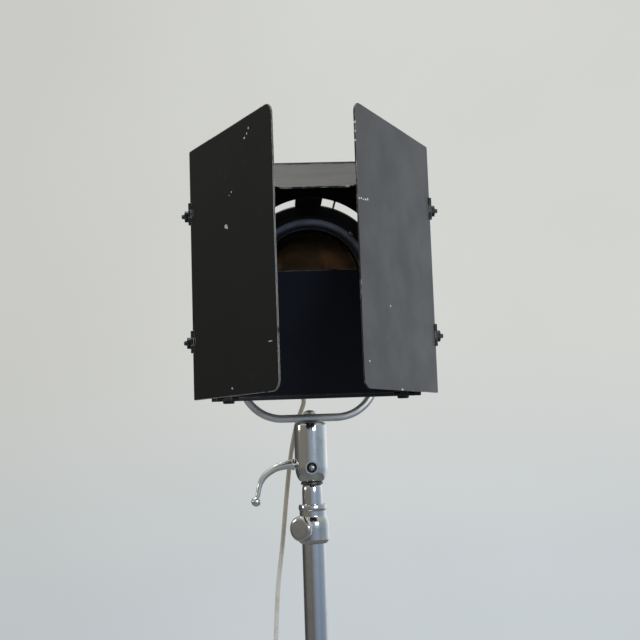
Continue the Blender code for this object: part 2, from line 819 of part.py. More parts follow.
def make_housing(head):
    inside = HOUSING_RADIUS - SHEET
    profile = [
        (inside, HOUSING_REAR),
        (HOUSING_RADIUS, HOUSING_REAR),
        (HOUSING_RADIUS, HOUSING_FRONT),
        (inside, HOUSING_FRONT),
    ]
    housing = turned("housing", head, BLACK_PAINT, profile, steps=40, ring=True, turn=FACING_BACK)
    for side in (-1, 1):
        ends = (side * (inside - 0.003), 0, 0), (side * (HOUSING_RADIUS + PIVOT_BOSS_PROUD), 0, 0)
        join(housing, rod("pivot_boss", head, None, *ends, PIVOT_BOSS, sides=28))
    for side in (-1, 1):
        x = side * (COVER_EAR_INSIDE + COVER_EAR_THICKNESS / 2)
        half = COVER_EAR_THICKNESS / 2
        low = (x - half, HOUSING_REAR - 0.010, inside - 0.0016)
        high = (x + half, HOUSING_REAR - 0.001, HOUSING_RADIUS + 0.0030)
        ear_root = box("ear_root", head, None, low, high)
        low = (x - half - 0.0001, HOUSING_REAR - 0.0105, HOUSING_RADIUS - 0.0004)
        high = (x + half + 0.0001, HOUSING_REAR + 0.0075, cover_hinge()[1] + 0.0040)
        join(housing, ear_root, box("ear", head, None, low, high))
    low = (-0.005, HOUSING_REAR - 0.0065, -HOUSING_RADIUS - 0.0095)
    high = (0.005, HOUSING_REAR, -inside - 0.0004)
    join(housing, box("latch_lug", head, None, low, high))
    for side in (-1, 1):
        past = (side * (inside - 0.003 - CUT), 0, 0), (side * (HOUSING_RADIUS + CUT), 0, 0)
        cut(housing, rod("pivot_hole", head, None, *past, BOLT_RADIUS + GAP, sides=20))
    y, z = cover_hinge()
    reach = COVER_EAR_INSIDE + COVER_EAR_THICKNESS + CUT
    pin_hole = rod("pin_hole", head, None, (-reach, y, z), (reach, y, z), 0.0014 + GAP, sides=16)
    latch = latch_drop()
    latch_hole = rod(
        "latch_hole",
        head,
        None,
        (0, HOUSING_REAR - 0.004, -latch),
        (0, HOUSING_REAR + CUT, -latch),
        0.0016 + GAP,
        sides=16,
    )
    cut(housing, pin_hole, latch_hole)
    for row in range(6):
        y = COWL_FRONT + 0.018 + row * 0.019
        low, high = (-0.022, y, inside - 0.012), (0.022, y + 0.007, HOUSING_RADIUS + CUT)
        cut(housing, box("top_vent", head, None, low, high))
    for side in (-1, 1):
        for row in range(3):
            y = -0.095 + row * 0.052
            low, high = (-0.0025, y, -HOUSING_RADIUS - CUT), (0.0025, y + 0.040, -inside + CUT)
            turn = (0, side * math.radians(50), 0)
            cut(housing, box("bottom_vent", head, None, low, high, turn=turn))
    half = FOCUS_STUD + FOCUS_SLOT_CLEARANCE
    low = (-half, FOCUS_Y - FOCUS_FORWARD - half, -HOUSING_RADIUS - CUT)
    high = (half, FOCUS_Y + FOCUS_BACK + half, -inside + CUT)
    cut(housing, box("focus_slot", head, None, low, high))
    ends = (GLAND_X, GLAND_Y, -HOUSING_RADIUS - CUT), (GLAND_X, GLAND_Y, -inside + CUT)
    cut(housing, rod("gland_hole", head, None, *ends, GLAND_NECK + GAP, sides=20))




def cover_hinge():
    """Where the rear cover's hinge axis is, as Y and Z from the tilt axis."""
    return HOUSING_REAR + 0.0040, HOUSING_RADIUS + COVER_HINGE_RAISE


def latch_drop():
    return HOUSING_RADIUS + 0.0050


def make_vent_cowl(head):
    """A cowl over the top vents, open at its two ends."""
    outer = HOUSING_RADIUS + COWL_RAISE + SHEET
    inner = HOUSING_RADIUS + COWL_RAISE
    foot = HOUSING_RADIUS + GAP
    middle = math.pi / 2
    left, right = middle + COWL_HALF_ANGLE, middle - COWL_HALF_ANGLE
    wall = SHEET / foot
    outline = arc((0, 0), outer, right, left, 17)
    outline += arc((0, 0), foot, left, left - wall, 2)
    outline += arc((0, 0), inner, left - wall, right + wall, 17)
    outline += arc((0, 0), foot, right + wall, right, 2)
    place = {"location": (0, (COWL_FRONT + COWL_REAR) / 2, 0), "turn": (math.radians(90), 0, 0)}
    flat("vent_cowl", head, BLACK_PAINT, outline, COWL_REAR - COWL_FRONT, **place)


def ring_front():
    return HOUSING_FRONT - GAP - RING_THICKNESS


def lens_seat():
    return ring_front() + RING_LIP_DEPTH


def make_front_ring(head):
    """Front ring with the lens behind its lip, and the wire ring that keeps the lens in."""
    front, seat = ring_front(), lens_seat()
    outside = HOUSING_RADIUS + RING_PROUD
    sleeve = HOUSING_RADIUS - SHEET - GAP
    cavity = sleeve - 0.0045
    flange_back = HOUSING_FRONT - GAP
    profile = [
        (outside, flange_back),
        (outside, front + 0.0010),
        (outside - 0.0010, front),
        (RING_MOUTH, front),
        (RING_MOUTH - 0.0037, front + 0.0045),
        (RING_MOUTH - 0.0037, front + 0.0065),
        (RING_LIP, front + 0.0085),
        (RING_LIP, seat),
        (cavity, seat),
        (cavity, front + RING_SLEEVE),
        (sleeve, front + RING_SLEEVE),
        (sleeve, flange_back),
    ]
    turned("front_ring", head, BLACK_PAINT, profile, steps=36, ring=True, turn=FACING_BACK)
    lens_front = seat + GAP
    lens_back = lens_front + LENS_RIM
    bulge_radius = RING_LIP - GAP
    sphere = (bulge_radius**2 + LENS_BULGE**2) / (2 * LENS_BULGE)
    rim = cavity - GAP
    profile = [(0, lens_back), (rim, lens_back), (rim, lens_front)]
    for step in range(6, 0, -1):
        r = bulge_radius * step / 6
        depth = math.sqrt(sphere**2 - r**2) - (sphere - LENS_BULGE)
        profile.append((r, lens_front - depth))
    profile.append((0, lens_front - LENS_BULGE))
    turned("lens", head, GLASS, profile, steps=28, turn=FACING_BACK)
    y = lens_back + GAP + RETAINER_RADIUS
    circle = arc((0, 0), rim - RETAINER_RADIUS, math.radians(-80), math.radians(260), 29)
    points = [(x, y, z) for x, z in circle]
    wire("lens_retainer", head, STEEL, points, RETAINER_RADIUS, 1)


def make_rear_cover(head):
    """Dished cover with slots, on a hinge along its top edge, held shut by a thumbscrew at the bottom."""
    y, z = cover_hinge()
    axis = axis_empty("rear_cover_axis", (0, y, z), head)
    rim = HOUSING_REAR + GAP
    edge = HOUSING_RADIUS - 0.0005
    dome = [(0, 1.0), (0.42, 0.93), (0.75, 0.66), (0.93, 0.30), (1.0, 0.10)]
    outer = [(edge * share, rim + COVER_DOME * height) for share, height in dome]
    inner = [(r - SHEET * r / edge, h - SHEET) for r, h in reversed(outer[:-1])]
    profile = outer + [(edge, rim), (edge - SHEET, rim)] + inner
    place = {"location": (0, -y, -z), "turn": FACING_BACK}
    cover = turned("rear_cover", axis, BLACK_PAINT, profile, steps=28, **place)
    knuckle = COVER_EAR_INSIDE - GAP
    pin = COVER_EAR_INSIDE + COVER_EAR_THICKNESS
    ends = (-knuckle, 0, 0), (knuckle, 0, 0)
    barrel = rod("barrel", axis, None, *ends, 0.0030, sides=20)
    pins = rod("pin", axis, None, (-pin, 0, 0), (pin, 0, 0), 0.0014, sides=16)
    arm_low = (-knuckle + 0.001, -0.0010, -0.0100)
    arm = box("arm", axis, None, arm_low, (knuckle - 0.001, 0.0012, 0.0005))
    tab_low = (-0.006, rim - y, -latch_drop() - 0.0045 - z)
    tab_high = (0.006, rim - y + 0.0018, -HOUSING_RADIUS + 0.0045 - z)
    tab = box("tab", axis, None, tab_low, tab_high)
    join(cover, barrel, pins, arm, tab)
    for row in range(COVER_OPEN_SLOTS):
        middle = 0.020 - row * 0.0135
        low, high = (-0.022, rim - 0.002 - y, middle - z - 0.002), (0.022, 0.030, middle - z + 0.002)
        cut(cover, box("slot", axis, None, low, high))
    latch_z = -latch_drop() - z
    hole = (0, rim - CUT - y, latch_z), (0, rim + 0.002 + CUT - y, latch_z)
    cut(cover, rod("latch_hole", axis, None, *hole, 0.0016 + GAP, sides=16))
    latch_axis = axis_empty("rear_latch_axis", (0, rim + 0.0018 + GAP - y, latch_z), axis)
    profile = [
        (0, 0.0062),
        (0.0040, 0.0062),
        (0.0048, 0.0052),
        (0.0048, 0.0008),
        (0.0040, 0),
        (0.0016, 0),
        (0.0016, -0.0052),
        (0, -0.0052),
    ]
    turned("rear_latch", latch_axis, STEEL, profile, steps=20, turn=FACING_BACK)


def make_gland(head):
    """Cable gland through the housing's underside, and the tapered strain relief below it."""
    shoulder = -HOUSING_RADIUS - 0.0006
    profile = [
        (0, -HOUSING_RADIUS + 0.0100),
        (0.0084, -HOUSING_RADIUS + 0.0100),
        (0.0084, -HOUSING_RADIUS + 0.0042),
        (GLAND_NECK, -HOUSING_RADIUS + 0.0042),
        (GLAND_NECK, shoulder),
        (GLAND_RADIUS, shoulder),
        (GLAND_RADIUS, shoulder - 0.0055),
        (GLAND_RADIUS - 0.0012, shoulder - 0.0065),
        (GLAND_RADIUS - 0.0012, shoulder - GLAND_LENGTH + 0.002),
        (GLAND_RADIUS - 0.0030, shoulder - GLAND_LENGTH),
        (0, shoulder - GLAND_LENGTH),
    ]
    turned("cable_gland", head, BAKELITE, profile, steps=20, location=(GLAND_X, GLAND_Y, 0))
    top = shoulder - GLAND_LENGTH - GAP
    profile = [(0, top), (0.0054, top), (0.0054, top - 0.003)]
    profile += [(0.0048, top - 0.005), (0.0036, top - RELIEF_LENGTH), (0, top - RELIEF_LENGTH)]
    turned("strain_relief", head, RUBBER, profile, steps=16, location=(GLAND_X, GLAND_Y, 0))
    return top - RELIEF_LENGTH


def make_lamp_carriage(head):
    """Tray with lamp holder, bulb and reflector. It slides along the housing's floor, moved by the knob below."""
    axis = axis_empty("focus_axis", (0, 0, 0), head)
    inside = HOUSING_RADIUS - SHEET
    top, half = -TRAY_DROP, TRAY_WIDTH / 2
    block_half = 0.012
    block_bottom = -math.sqrt((inside - GAP) ** 2 - block_half**2)
    low, high = (-half, TRAY_FRONT, top - 0.002), (half, TRAY_REAR, top)
    tray = box("lamp_tray", axis, STEEL, low, high)
    low, high = (-block_half, TRAY_FRONT + 0.006, block_bottom), (block_half, TRAY_REAR - 0.023, top - 0.001)
    join(tray, box("runner", axis, None, low, high))
    hole = (0, FOCUS_Y, block_bottom - CUT), (0, FOCUS_Y, block_bottom + 0.009)
    cut(tray, rod("stud_hole", axis, None, *hole, FOCUS_STUD + GAP, sides=20))

    knob_axis = axis_empty("focus_knob_axis", (0, FOCUS_Y, 0), axis)
    knob_top = -HOUSING_RADIUS - GAP
    profile = [
        (0, block_bottom + 0.0085),
        (FOCUS_STUD, block_bottom + 0.0085),
        (FOCUS_STUD, knob_top),
        (0.0080, knob_top),
        (0.0090, knob_top - 0.0015),
        (0.0090, knob_top - 0.0110),
        (0.0080, knob_top - 0.0130),
        (0, knob_top - 0.0130),
    ]
    turned("focus_knob", knob_axis, BAKELITE, profile, steps=24)

    holder_low = (-0.016, FILAMENT_Y - 0.010, top + GAP)
    holder_high = (0.016, FILAMENT_Y + 0.010, top + 0.0125)
    holder = box("lamp_holder", axis, CERAMIC, holder_low, holder_high)
    socket_floor = top + 0.0045
    ends = (0, FILAMENT_Y, socket_floor), (0, FILAMENT_Y, top + 0.0125 + CUT)
    cut(holder, rod("socket", axis, None, *ends, 0.0075 + GAP, sides=24))
    base = socket_floor + GAP
    profile = [(0, BULB_TOP)]
    for r, z in arc((0, BULB_TOP - BULB_RADIUS), BULB_RADIUS, math.pi / 2, 0, 7)[1:]:
        profile.append((r, z))
    profile += [
        (BULB_RADIUS, top + 0.0190),
        (0.0075, top + 0.0150),
        (0.0075, base),
        (0, base),
    ]
    turned("lamp_bulb", axis, GLASS, profile, steps=16, location=(0, FILAMENT_Y, 0))

    apex = FILAMENT_Y + REFLECTOR_RADIUS
    outer, inner = [], []
    for step in range(7):
        r = REFLECTOR_RIM * step / 6
        outer.append((r, apex + 0.001 - (REFLECTOR_RADIUS - math.sqrt(REFLECTOR_RADIUS**2 - r * r))))
        inner.append((r, apex - (REFLECTOR_RADIUS - math.sqrt(REFLECTOR_RADIUS**2 - r * r))))
    reflector = turned(
        "reflector", axis, MIRROR, outer + inner[::-1], steps=20, turn=FACING_BACK
    )
    stem_low = (-0.007, apex - 0.0035, top + GAP)
    stem_high = (0.007, apex - 0.0015, -REFLECTOR_RIM + 0.016)
    foot_low = (-0.007, apex - 0.0120, top + GAP)
    foot_high = (0.007, apex - 0.0020, top + GAP + 0.0015)
    stem = box("stem", axis, None, stem_low, stem_high)
    foot = box("stem_foot", axis, None, foot_low, foot_high)
    join(reflector, stem, foot)


# Barn door


def hinge_frames(head):
    """For each leaf, an empty on its hinge axis: X points outwards, Y to the rear, Z along the hinge."""
    half = DOOR_WIDTH / 2
    y = -HINGE_PLANE_AHEAD
    places = {
        "right": ((half, y, 0), 0),
        "left": ((-half, y, 0), 180),
        "top": ((0, y, TOP_HINGE), -90),
        "bottom": ((0, y, BOTTOM_HINGE), 90),
    }
    frames = {}
    for name, (at, turn) in places.items():
        frames[name] = axis_empty("door_hinge_" + name, at, head, (0, math.radians(turn), 0))
    return frames


def hinge_places(name):
    """Where a leaf's two hinges are, along its own hinge axis."""
    if name == "right":
        return SIDE_HINGES
    if name == "left":
        return tuple(-place for place in SIDE_HINGES)
    return END_HINGES


def hinge_names(name):
    if name in ("left", "right"):
        return "hinge_" + name + "_upper", "hinge_" + name + "_lower"
    first, second = ("left", "right") if name == "top" else ("right", "left")
    return "hinge_" + name + "_" + first, "hinge_" + name + "_" + second




def make_hinge(name, frame, along, bolted):
    """The fixed half of a leaf's hinge, with its screw through the plate's flange.

    A bolted hinge has its nut outside; the others have a flat screw head outside and the nut inside.
    """
    strap_in = -HINGE_STANDOFF + GAP
    strap_out = strap_in + SHEET
    half = HINGE_LENGTH / 2
    clear = LEAF_KNUCKLE_LENGTH / 2 + GAP
    place = {"location": (0, 0, along)}
    low, high = (strap_in, -0.0002, -half), (strap_out, 0.0155, half)
    strap = box(name, frame, BLACK_PAINT, low, high, **place)
    notch_low = (strap_in - CUT, -CUT, -clear)
    notch_high = (strap_out + CUT, KNUCKLE_RADIUS + 2 * GAP, clear)
    cut(strap, box("notch", frame, None, notch_low, notch_high, **place))
    for side in (-1, 1):
        ends = (0, 0, side * (clear + 0.0001)), (0, 0, side * (half + 0.0001))
        join(strap, rod("knuckle", frame, None, *ends, KNUCKLE_RADIUS, sides=10, **place))
    pin_end = half - 0.002
    ends = (0, 0, -pin_end), (0, 0, pin_end)
    join(strap, rod("pin", frame, None, *ends, PIN_RADIUS, sides=8, **place))
    y = HINGE_SCREW_Y
    inside = -HINGE_STANDOFF - SHEET - GAP
    if bolted:
        saddle_out = strap_out + 0.0014
        boss_out = saddle_out + 0.0014
        nut_out = boss_out + 0.0040
        tip = boss_out + 0.0066
        low, high = (strap_out - 0.0005, 0.0037, -0.0078), (saddle_out, 0.0153, 0.0078)
        fixings = [box("saddle", frame, None, low, high, **place)]
        ends = (saddle_out - 0.0005, y, 0), (boss_out, y, 0)
        fixings.append(rod("boss", frame, None, *ends, 0.0056, 0.0048, 12, **place))
        ends = (boss_out - 0.0004, y, 0), (nut_out, y, 0)
        fixings.append(rod("nut", frame, None, *ends, 0.0045, sides=6, **place))
    else:
        tip = strap_out + 0.0050
        ends = (strap_out - 0.0005, y, 0), (strap_out + 0.0052, y, 0)
        fixings = [rod("flat_head", frame, None, *ends, 0.0054, 0.0048, 16, **place)]
    ends = (inside - 0.0005, y, 0), (tip, y, 0)
    fixings.append(rod("screw", frame, None, *ends, HINGE_SCREW_RADIUS, sides=8, **place))
    ends = (inside - 0.0016, y, 0), (inside, y, 0)
    fixings.append(rod("inner_head", frame, None, *ends, 0.0036, sides=8, **place))
    join(strap, *fixings)


def leaf_outline(name):
    """A leaf's outline: first number out from the hinge, second along it."""
    along = hinge_places(name)
    edge = 0.0005
    notch_depth = KNUCKLE_RADIUS + 2 * GAP + 0.0004
    notch_half = HINGE_LENGTH / 2 + GAP
    if name in ("left", "right"):
        sign = 1 if name == "right" else -1
        low, high = sorted(
            sign * (SIDE_LEAF_MIDDLE + half) for half in (-SIDE_LEAF_HEIGHT / 2, SIDE_LEAF_HEIGHT / 2)
        )
        far = [((SIDE_LEAF_REACH, high), 0.009), ((SIDE_LEAF_REACH, low), 0.009)]
        near_radius = 0.0015
    else:
        tip = TOP_LEAF_TIP_WIDTH / 2 if name == "top" else BOTTOM_LEAF_TIP_WIDTH / 2
        high, low = END_LEAF_HINGE_WIDTH / 2, -END_LEAF_HINGE_WIDTH / 2
        far = [((END_LEAF_REACH, tip), 0.004), ((END_LEAF_REACH, -tip), 0.004)]
        near_radius = 0.004
    corners = [((edge, low), near_radius)]
    for middle in sorted(along):
        corners += [
            ((edge, middle - notch_half), 0),
            ((notch_depth, middle - notch_half), 0),
            ((notch_depth, middle + notch_half), 0),
            ((edge, middle + notch_half), 0),
        ]
    corners.append(((edge, high), near_radius))
    corners += far
    return rounded([corner for corner, _ in corners], [radius for _, radius in corners])


def make_leaf(name, frame, fold):
    """A leaf of the barn door with its two knuckles. fold is inwards from straight ahead."""
    swing = axis_empty("leaf_swing_" + name, (0, 0, 0), frame, (0, 0, -fold))
    # The outline's X runs forwards, its Y along the hinge
    turn = Matrix(((0, 0, -1), (-1, 0, 0), (0, 1, 0))).to_euler()
    leaf = flat("leaf_" + name, swing, BLACK_PAINT, leaf_outline(name), SHEET, turn=turn)
    half = LEAF_KNUCKLE_LENGTH / 2
    for along in hinge_places(name):
        place = {"location": (0, 0, along)}
        ends = (0, 0, -half), (0, 0, half)
        knuckle = rod("knuckle", swing, None, *ends, KNUCKLE_RADIUS, sides=10, **place)
        thick = SHEET / 2 + 0.0001
        low, high = (-thick, -0.0060, 0.0003 - half), (thick, -0.0015, half - 0.0003)
        tab = box("tab", swing, None, low, high, **place)
        join(leaf, tab, knuckle)
    if name in ("top", "bottom"):
        # The edge between and beside the hinges is rolled about the hinge axis
        clear = HINGE_LENGTH / 2 + GAP
        first, last = sorted(hinge_places(name))
        end = END_LEAF_HINGE_WIDTH / 2 - 0.004
        for start, stop in ((-end, first - clear), (first + clear, last - clear), (last + clear, end)):
            join(leaf, rod("barrel", swing, None, (0, 0, start), (0, 0, stop), BARREL_RADIUS, sides=10))
    for along in hinge_places(name):
        reach = half + CUT / 2
        place = {"location": (0, 0, along)}
        bore = rod("bore", swing, None, (0, 0, -reach), (0, 0, reach), PIN_RADIUS + GAP, sides=8, **place)
        cut(leaf, bore)


def make_door_plate(head, frames):
    """Shallow tray with the round aperture. The leaves' hinges are screwed through its flanges."""
    half = DOOR_WIDTH / 2 - HINGE_STANDOFF
    top, bottom = TOP_HINGE - HINGE_STANDOFF, BOTTOM_HINGE + HINGE_STANDOFF
    front = -HINGE_PLANE_AHEAD + PLATE_SETBACK

    def tray(bm):
        add_box(bm, (-half, front, bottom), (half, front + PLATE_DEPTH, top))
        back = [face for face in bm.faces if face.normal.y > 0.5]
        bmesh.ops.delete(bm, geom=back, context="FACES_ONLY")

    bm = bmesh.new()
    tray(bm)
    data = bpy.data.meshes.new("door_plate")
    bm.to_mesh(data)
    bm.free()
    plate = piece("door_plate", data, head, BLACK_PAINT)
    wall = plate.modifiers.new("sheet", "SOLIDIFY")
    wall.thickness = SHEET
    wall.offset = -1
    wall.use_even_offset = True
    ends = (0, front - CUT, 0), (0, front + PLATE_DEPTH / 2, 0)
    cut(plate, rod("aperture", head, None, *ends, PLATE_APERTURE, sides=72))
    for x in (-half, half):
        for z in (bottom, top):
            ends = (x, front - CUT, z), (x, front + PLATE_DEPTH + CUT, z)
            cut(plate, rod("corner", head, None, *ends, 0.006, sides=20))
    for name, frame in frames.items():
        for along in hinge_places(name):
            outside, inside = -HINGE_STANDOFF + CUT / 4, -HINGE_STANDOFF - SHEET - CUT / 4
            ends = (outside, HINGE_SCREW_Y, along), (inside, HINGE_SCREW_Y, along)
            cut(plate, rod("screw_hole", frame, None, *ends, HINGE_SCREW_RADIUS + GAP, sides=8))


def make_brackets(head):
    """Straps that hold the door plate ahead of the front ring, and the wire that keeps the plate on them."""
    inside = HOUSING_RADIUS + RING_PROUD + GAP
    plate_back = -HINGE_PLANE_AHEAD + PLATE_SETBACK + SHEET + GAP
    ring_back = HOUSING_FRONT - 0.001
    half = BRACKET_WIDTH / 2
    for name, angle in (("top", 0), ("left", -120), ("right", 120)):
        turn = (0, math.radians(angle), 0)
        low, high = (-half, plate_back, inside), (half, ring_back, inside + 0.0015)
        strap = box("door_bracket_" + name, head, BLACK_PAINT, low, high, turn=turn)
        low, high = (-half, plate_back, inside), (half, plate_back + 0.0015, inside + 0.012)
        join(strap, box("foot", head, None, low, high, turn=turn))
    radius = inside + WIRE_RADIUS
    z = math.sqrt(radius**2 - WIRE_X**2)
    front = plate_back + WIRE_RADIUS
    points = [
        (WIRE_X, ring_back - 0.0005, z),
        (WIRE_X, front + 0.004, z),
        (WIRE_X, front + 0.0012, z + 0.0012),
        (WIRE_X, front, z + 0.004),
        (WIRE_X, front, z + 0.014),
        (WIRE_X + 0.0012, front, z + 0.0168),
        (WIRE_X + 0.004, front, z + 0.018),
        (WIRE_X + 0.014, front, z + 0.018),
    ]
    wire("retaining_wire", head, STEEL, points, WIRE_RADIUS)


# Lead, switch and plug


def make_lead(start):
    """The lead hangs from the strain relief to the switch, as three stretches, and goes on to the coil."""
    route = [Vector(point) for point in LEAD_ROUTE]
    shift = Vector((GLAND_X, GLAND_Y, start - GAP)) - route[0]
    hang = route[0].z - LEAD_STILL
    splits = [height + shift.z * (height - LEAD_STILL) / hang for height in LEAD_SPLITS]
    for point in route:
        point += shift * max(0, (point.z - LEAD_STILL) / hang)
    heading = Vector((math.cos(SWITCH_HEADING), math.sin(SWITCH_HEADING), 0))
    switch = Vector((*SWITCH_CENTRE, SWITCH_ENTRY))
    enter = switch - heading * (SWITCH_SIZE[0] / 2 + GAP)
    route += [enter - heading * 0.006, enter]
    line = smooth_line(route)
    stretches, current = [], [line[0]]
    for a, b in zip(line, line[1:]):
        if splits and b.z <= splits[0] < a.z:
            share = (a.z - splits[0]) / (a.z - b.z)
            direction = (b - a).normalized()
            at = a.lerp(b, share)
            if (current[-1] - at).length < 0.002:
                current.pop()
            stretches.append(current + [at - direction * GAP / 2])
            current = [at + direction * GAP / 2]
            splits.pop(0)
            if (b - at).length < 0.002:
                continue
        current.append(b)
    stretches.append(current)
    names = ("lead_upper", "lead_middle", "lead_lower")
    for name, stretch in zip(names, stretches):
        world_wire(name, thinned(stretch))
    leave = switch + heading * (SWITCH_SIZE[0] / 2 + GAP)
    floor = [leave, leave + heading * 0.006] + [Vector(point) for point in FLOOR_ROUTE]
    clear = COIL_RADIUS + COIL_HALF_WIDTH + GAP
    tangent = COIL_RADIUS + COIL_HALF_WIDTH - LEAD_RADIUS
    back = math.sqrt(clear**2 - (tangent - LEAD_RADIUS) ** 2)
    floor.append(Vector((COIL_CENTRE[0] - tangent, COIL_CENTRE[1] - back, floor[-1].z)))
    world_wire("lead_floor", thinned(smooth_line(floor)))


def world_wire(name, points):
    wire(name, None, IVORY, points, LEAD_RADIUS)


def make_coil(root):
    inner, outer = COIL_RADIUS - COIL_HALF_WIDTH, COIL_RADIUS + COIL_HALF_WIDTH
    profile = [
        (outer - 0.001, COIL_HEIGHT),
        (outer, COIL_HEIGHT - 0.001),
        (outer, 0.001),
        (outer - 0.001, 0.0),
        (inner + 0.001, 0.0),
        (inner, 0.001),
        (inner, COIL_HEIGHT - 0.001),
        (inner + 0.001, COIL_HEIGHT),
    ]
    place = {"location": (*COIL_CENTRE, 0)}
    turned("lead_coil", root, IVORY, profile, steps=24, ring=True, **place)


def make_switch(root):
    length, width, height = SWITCH_SIZE
    base = axis_empty("switch_place", (*SWITCH_CENTRE, 0), root, (0, 0, SWITCH_HEADING))
    low, high = (-length / 2, -width / 2, 0.0), (length / 2, width / 2, height)
    body = box("switch_body", base, IVORY, low, high)
    pocket = (ROCKER_SIZE[0] / 2 + 0.0012, ROCKER_SIZE[1] / 2 + 0.0006)
    pivot_z = height - 0.0020
    depth = ROCKER_SIZE[2] / 2 + 0.0022
    low, high = (-pocket[0], -pocket[1], pivot_z - depth), (pocket[0], pocket[1], height + CUT)
    rounded_edges(body, 0.002, 2, 60)
    cut(body, box("pocket", base, None, low, high))
    axle = 0.0012
    reach = ROCKER_SIZE[1] / 2 + 0.0025
    ends = (0, -reach - GAP, pivot_z), (0, reach + GAP, pivot_z)
    cut(body, rod("axle_hole", base, None, *ends, axle + GAP, sides=14))
    pivot = axis_empty("rocker_axis", (0, 0, pivot_z), base, (0, ROCKER_TILT, 0))
    half = Vector(ROCKER_SIZE) / 2
    rocker = box("switch_rocker", pivot, BAKELITE, -half, half)
    join(rocker, rod("axle", pivot, None, (0, -reach, 0), (0, reach, 0), axle, sides=12))


def make_plug(root):
    """Two-pin plug lying beside the coil. Its boot starts where the coil's outer turn leaves the coil."""
    heading = Vector((math.cos(PLUG_HEADING), math.sin(PLUG_HEADING), 0))
    side = Vector((-heading.y, heading.x, 0))
    tangent_radius = COIL_RADIUS + COIL_HALF_WIDTH - LEAD_RADIUS
    leave = Vector((*COIL_CENTRE, 0)) + side * tangent_radius
    clear = COIL_RADIUS + COIL_HALF_WIDTH + GAP
    boot_radius = LEAD_RADIUS + 0.0010
    start = math.sqrt(clear**2 - (tangent_radius - boot_radius) ** 2)
    origin = leave + heading * start
    height = PLUG_HEIGHT / 2
    place = axis_empty("plug_place", (origin.x, origin.y, height), root, (0, 0, PLUG_HEADING))
    body = flat(
        "plug_body",
        place,
        IVORY,
        plug_outline(),
        PLUG_HEIGHT - 0.0004,
        location=(0, 0, 0.0002),
    )
    rounded_edges(body, 0.003, 2, 60)
    boot = rod("boot", place, None, (0, 0, 0), (PLUG_BOOT + 0.004, 0, 0), boot_radius, 0.0055, 16)
    join(body, boot)
    face = PLUG_BOOT + PLUG_LENGTH
    for name, sign in (("left", 1), ("right", -1)):
        y = sign * PIN_SPACING / 2
        seat = face - 0.008
        hole = (seat - GAP, y, 0), (face + CUT, y, 0)
        cut(body, rod("pin_hole", place, None, *hole, PLUG_PIN_RADIUS + GAP, sides=14))
        ends = (seat, y, 0), (face + PLUG_PIN_LENGTH, y, 0)
        rod("plug_pin_" + name, place, STEEL, *ends, PLUG_PIN_RADIUS, sides=12)


def plug_outline():
    """The plug's body from above: a narrow waist at the boot, wide at its face."""
    half = PLUG_WIDTH / 2
    corners = [
        (PLUG_BOOT, -0.0075),
        (PLUG_BOOT + 0.012, -0.0085),
        (PLUG_BOOT + PLUG_LENGTH - 0.010, -half),
        (PLUG_BOOT + PLUG_LENGTH, -half),
        (PLUG_BOOT + PLUG_LENGTH, half),
        (PLUG_BOOT + PLUG_LENGTH - 0.010, half),
        (PLUG_BOOT + 0.012, 0.0085),
        (PLUG_BOOT, 0.0075),
    ]
    return rounded(corners, [0.003, 0.006, 0.005, 0.003, 0.003, 0.005, 0.006, 0.003], 4)


def main():
    root = axis_empty("stand_root", (0, 0, 0))
    upper = axis_empty("tube_slide_axis", (0, 0, 0), root)
    pan = axis_empty("pan_axis", (0, 0, HEAD_HEIGHT), upper)
    head = axis_empty("tilt_axis", (0, 0, 0), pan)
    make_base(root)
    make_stand(root)
    make_inner_tube(upper)
    make_adapter(pan)
    make_clamp_lever(pan)
    make_yoke(pan)
    make_tilt_knobs(pan)
    make_housing(head)
    make_vent_cowl(head)
    make_front_ring(head)
    make_rear_cover(head)
    lead_start = HEAD_HEIGHT + make_gland(head)
    make_lamp_carriage(head)
    frames = hinge_frames(head)
    folds = {"left": LEFT_FOLD, "right": RIGHT_FOLD, "top": TOP_FOLD, "bottom": BOTTOM_FOLD}
    for name, frame in frames.items():
        make_leaf(name, frame, folds[name])
        for hinge, along in zip(hinge_names(name), hinge_places(name)):
            make_hinge(hinge, frame, along, bolted=name in ("left", "right"))
    make_door_plate(head, frames)
    make_brackets(head)
    make_lead(lead_start)
    make_coil(root)
    make_switch(root)
    make_plug(root)
    bpy.context.view_layer.update()


main()
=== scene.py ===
from math import asin, copysign, cos, hypot, pi, sin, sqrt, tan
from math import radians as RAD

import bmesh
import bpy
from mathutils import Matrix, Vector, noise


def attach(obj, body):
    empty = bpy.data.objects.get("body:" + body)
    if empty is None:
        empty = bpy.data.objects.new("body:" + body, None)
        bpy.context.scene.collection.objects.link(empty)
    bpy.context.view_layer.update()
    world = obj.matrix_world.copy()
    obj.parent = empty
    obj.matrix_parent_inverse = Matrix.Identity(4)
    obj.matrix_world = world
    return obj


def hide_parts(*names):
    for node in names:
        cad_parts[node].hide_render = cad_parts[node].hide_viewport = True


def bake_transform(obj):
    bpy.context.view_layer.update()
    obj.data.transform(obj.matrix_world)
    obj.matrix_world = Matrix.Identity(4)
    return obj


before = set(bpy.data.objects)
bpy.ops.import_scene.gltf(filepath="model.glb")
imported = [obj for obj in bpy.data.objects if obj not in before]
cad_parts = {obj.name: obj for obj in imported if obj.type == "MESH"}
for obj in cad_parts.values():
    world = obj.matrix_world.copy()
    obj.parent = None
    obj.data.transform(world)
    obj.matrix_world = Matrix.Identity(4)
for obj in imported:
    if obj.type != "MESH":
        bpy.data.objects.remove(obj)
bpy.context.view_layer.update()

SCENE = bpy.context.scene
GAP = 0.0003  # between pieces that don't touch
SHEET = 0.0012  # thickness of the sheet metal
SIDES = ((-1, "left"), (1, "right"))
HEAD_HEIGHT = 1.420


def moved(*offset):
    return Matrix.Translation(offset)


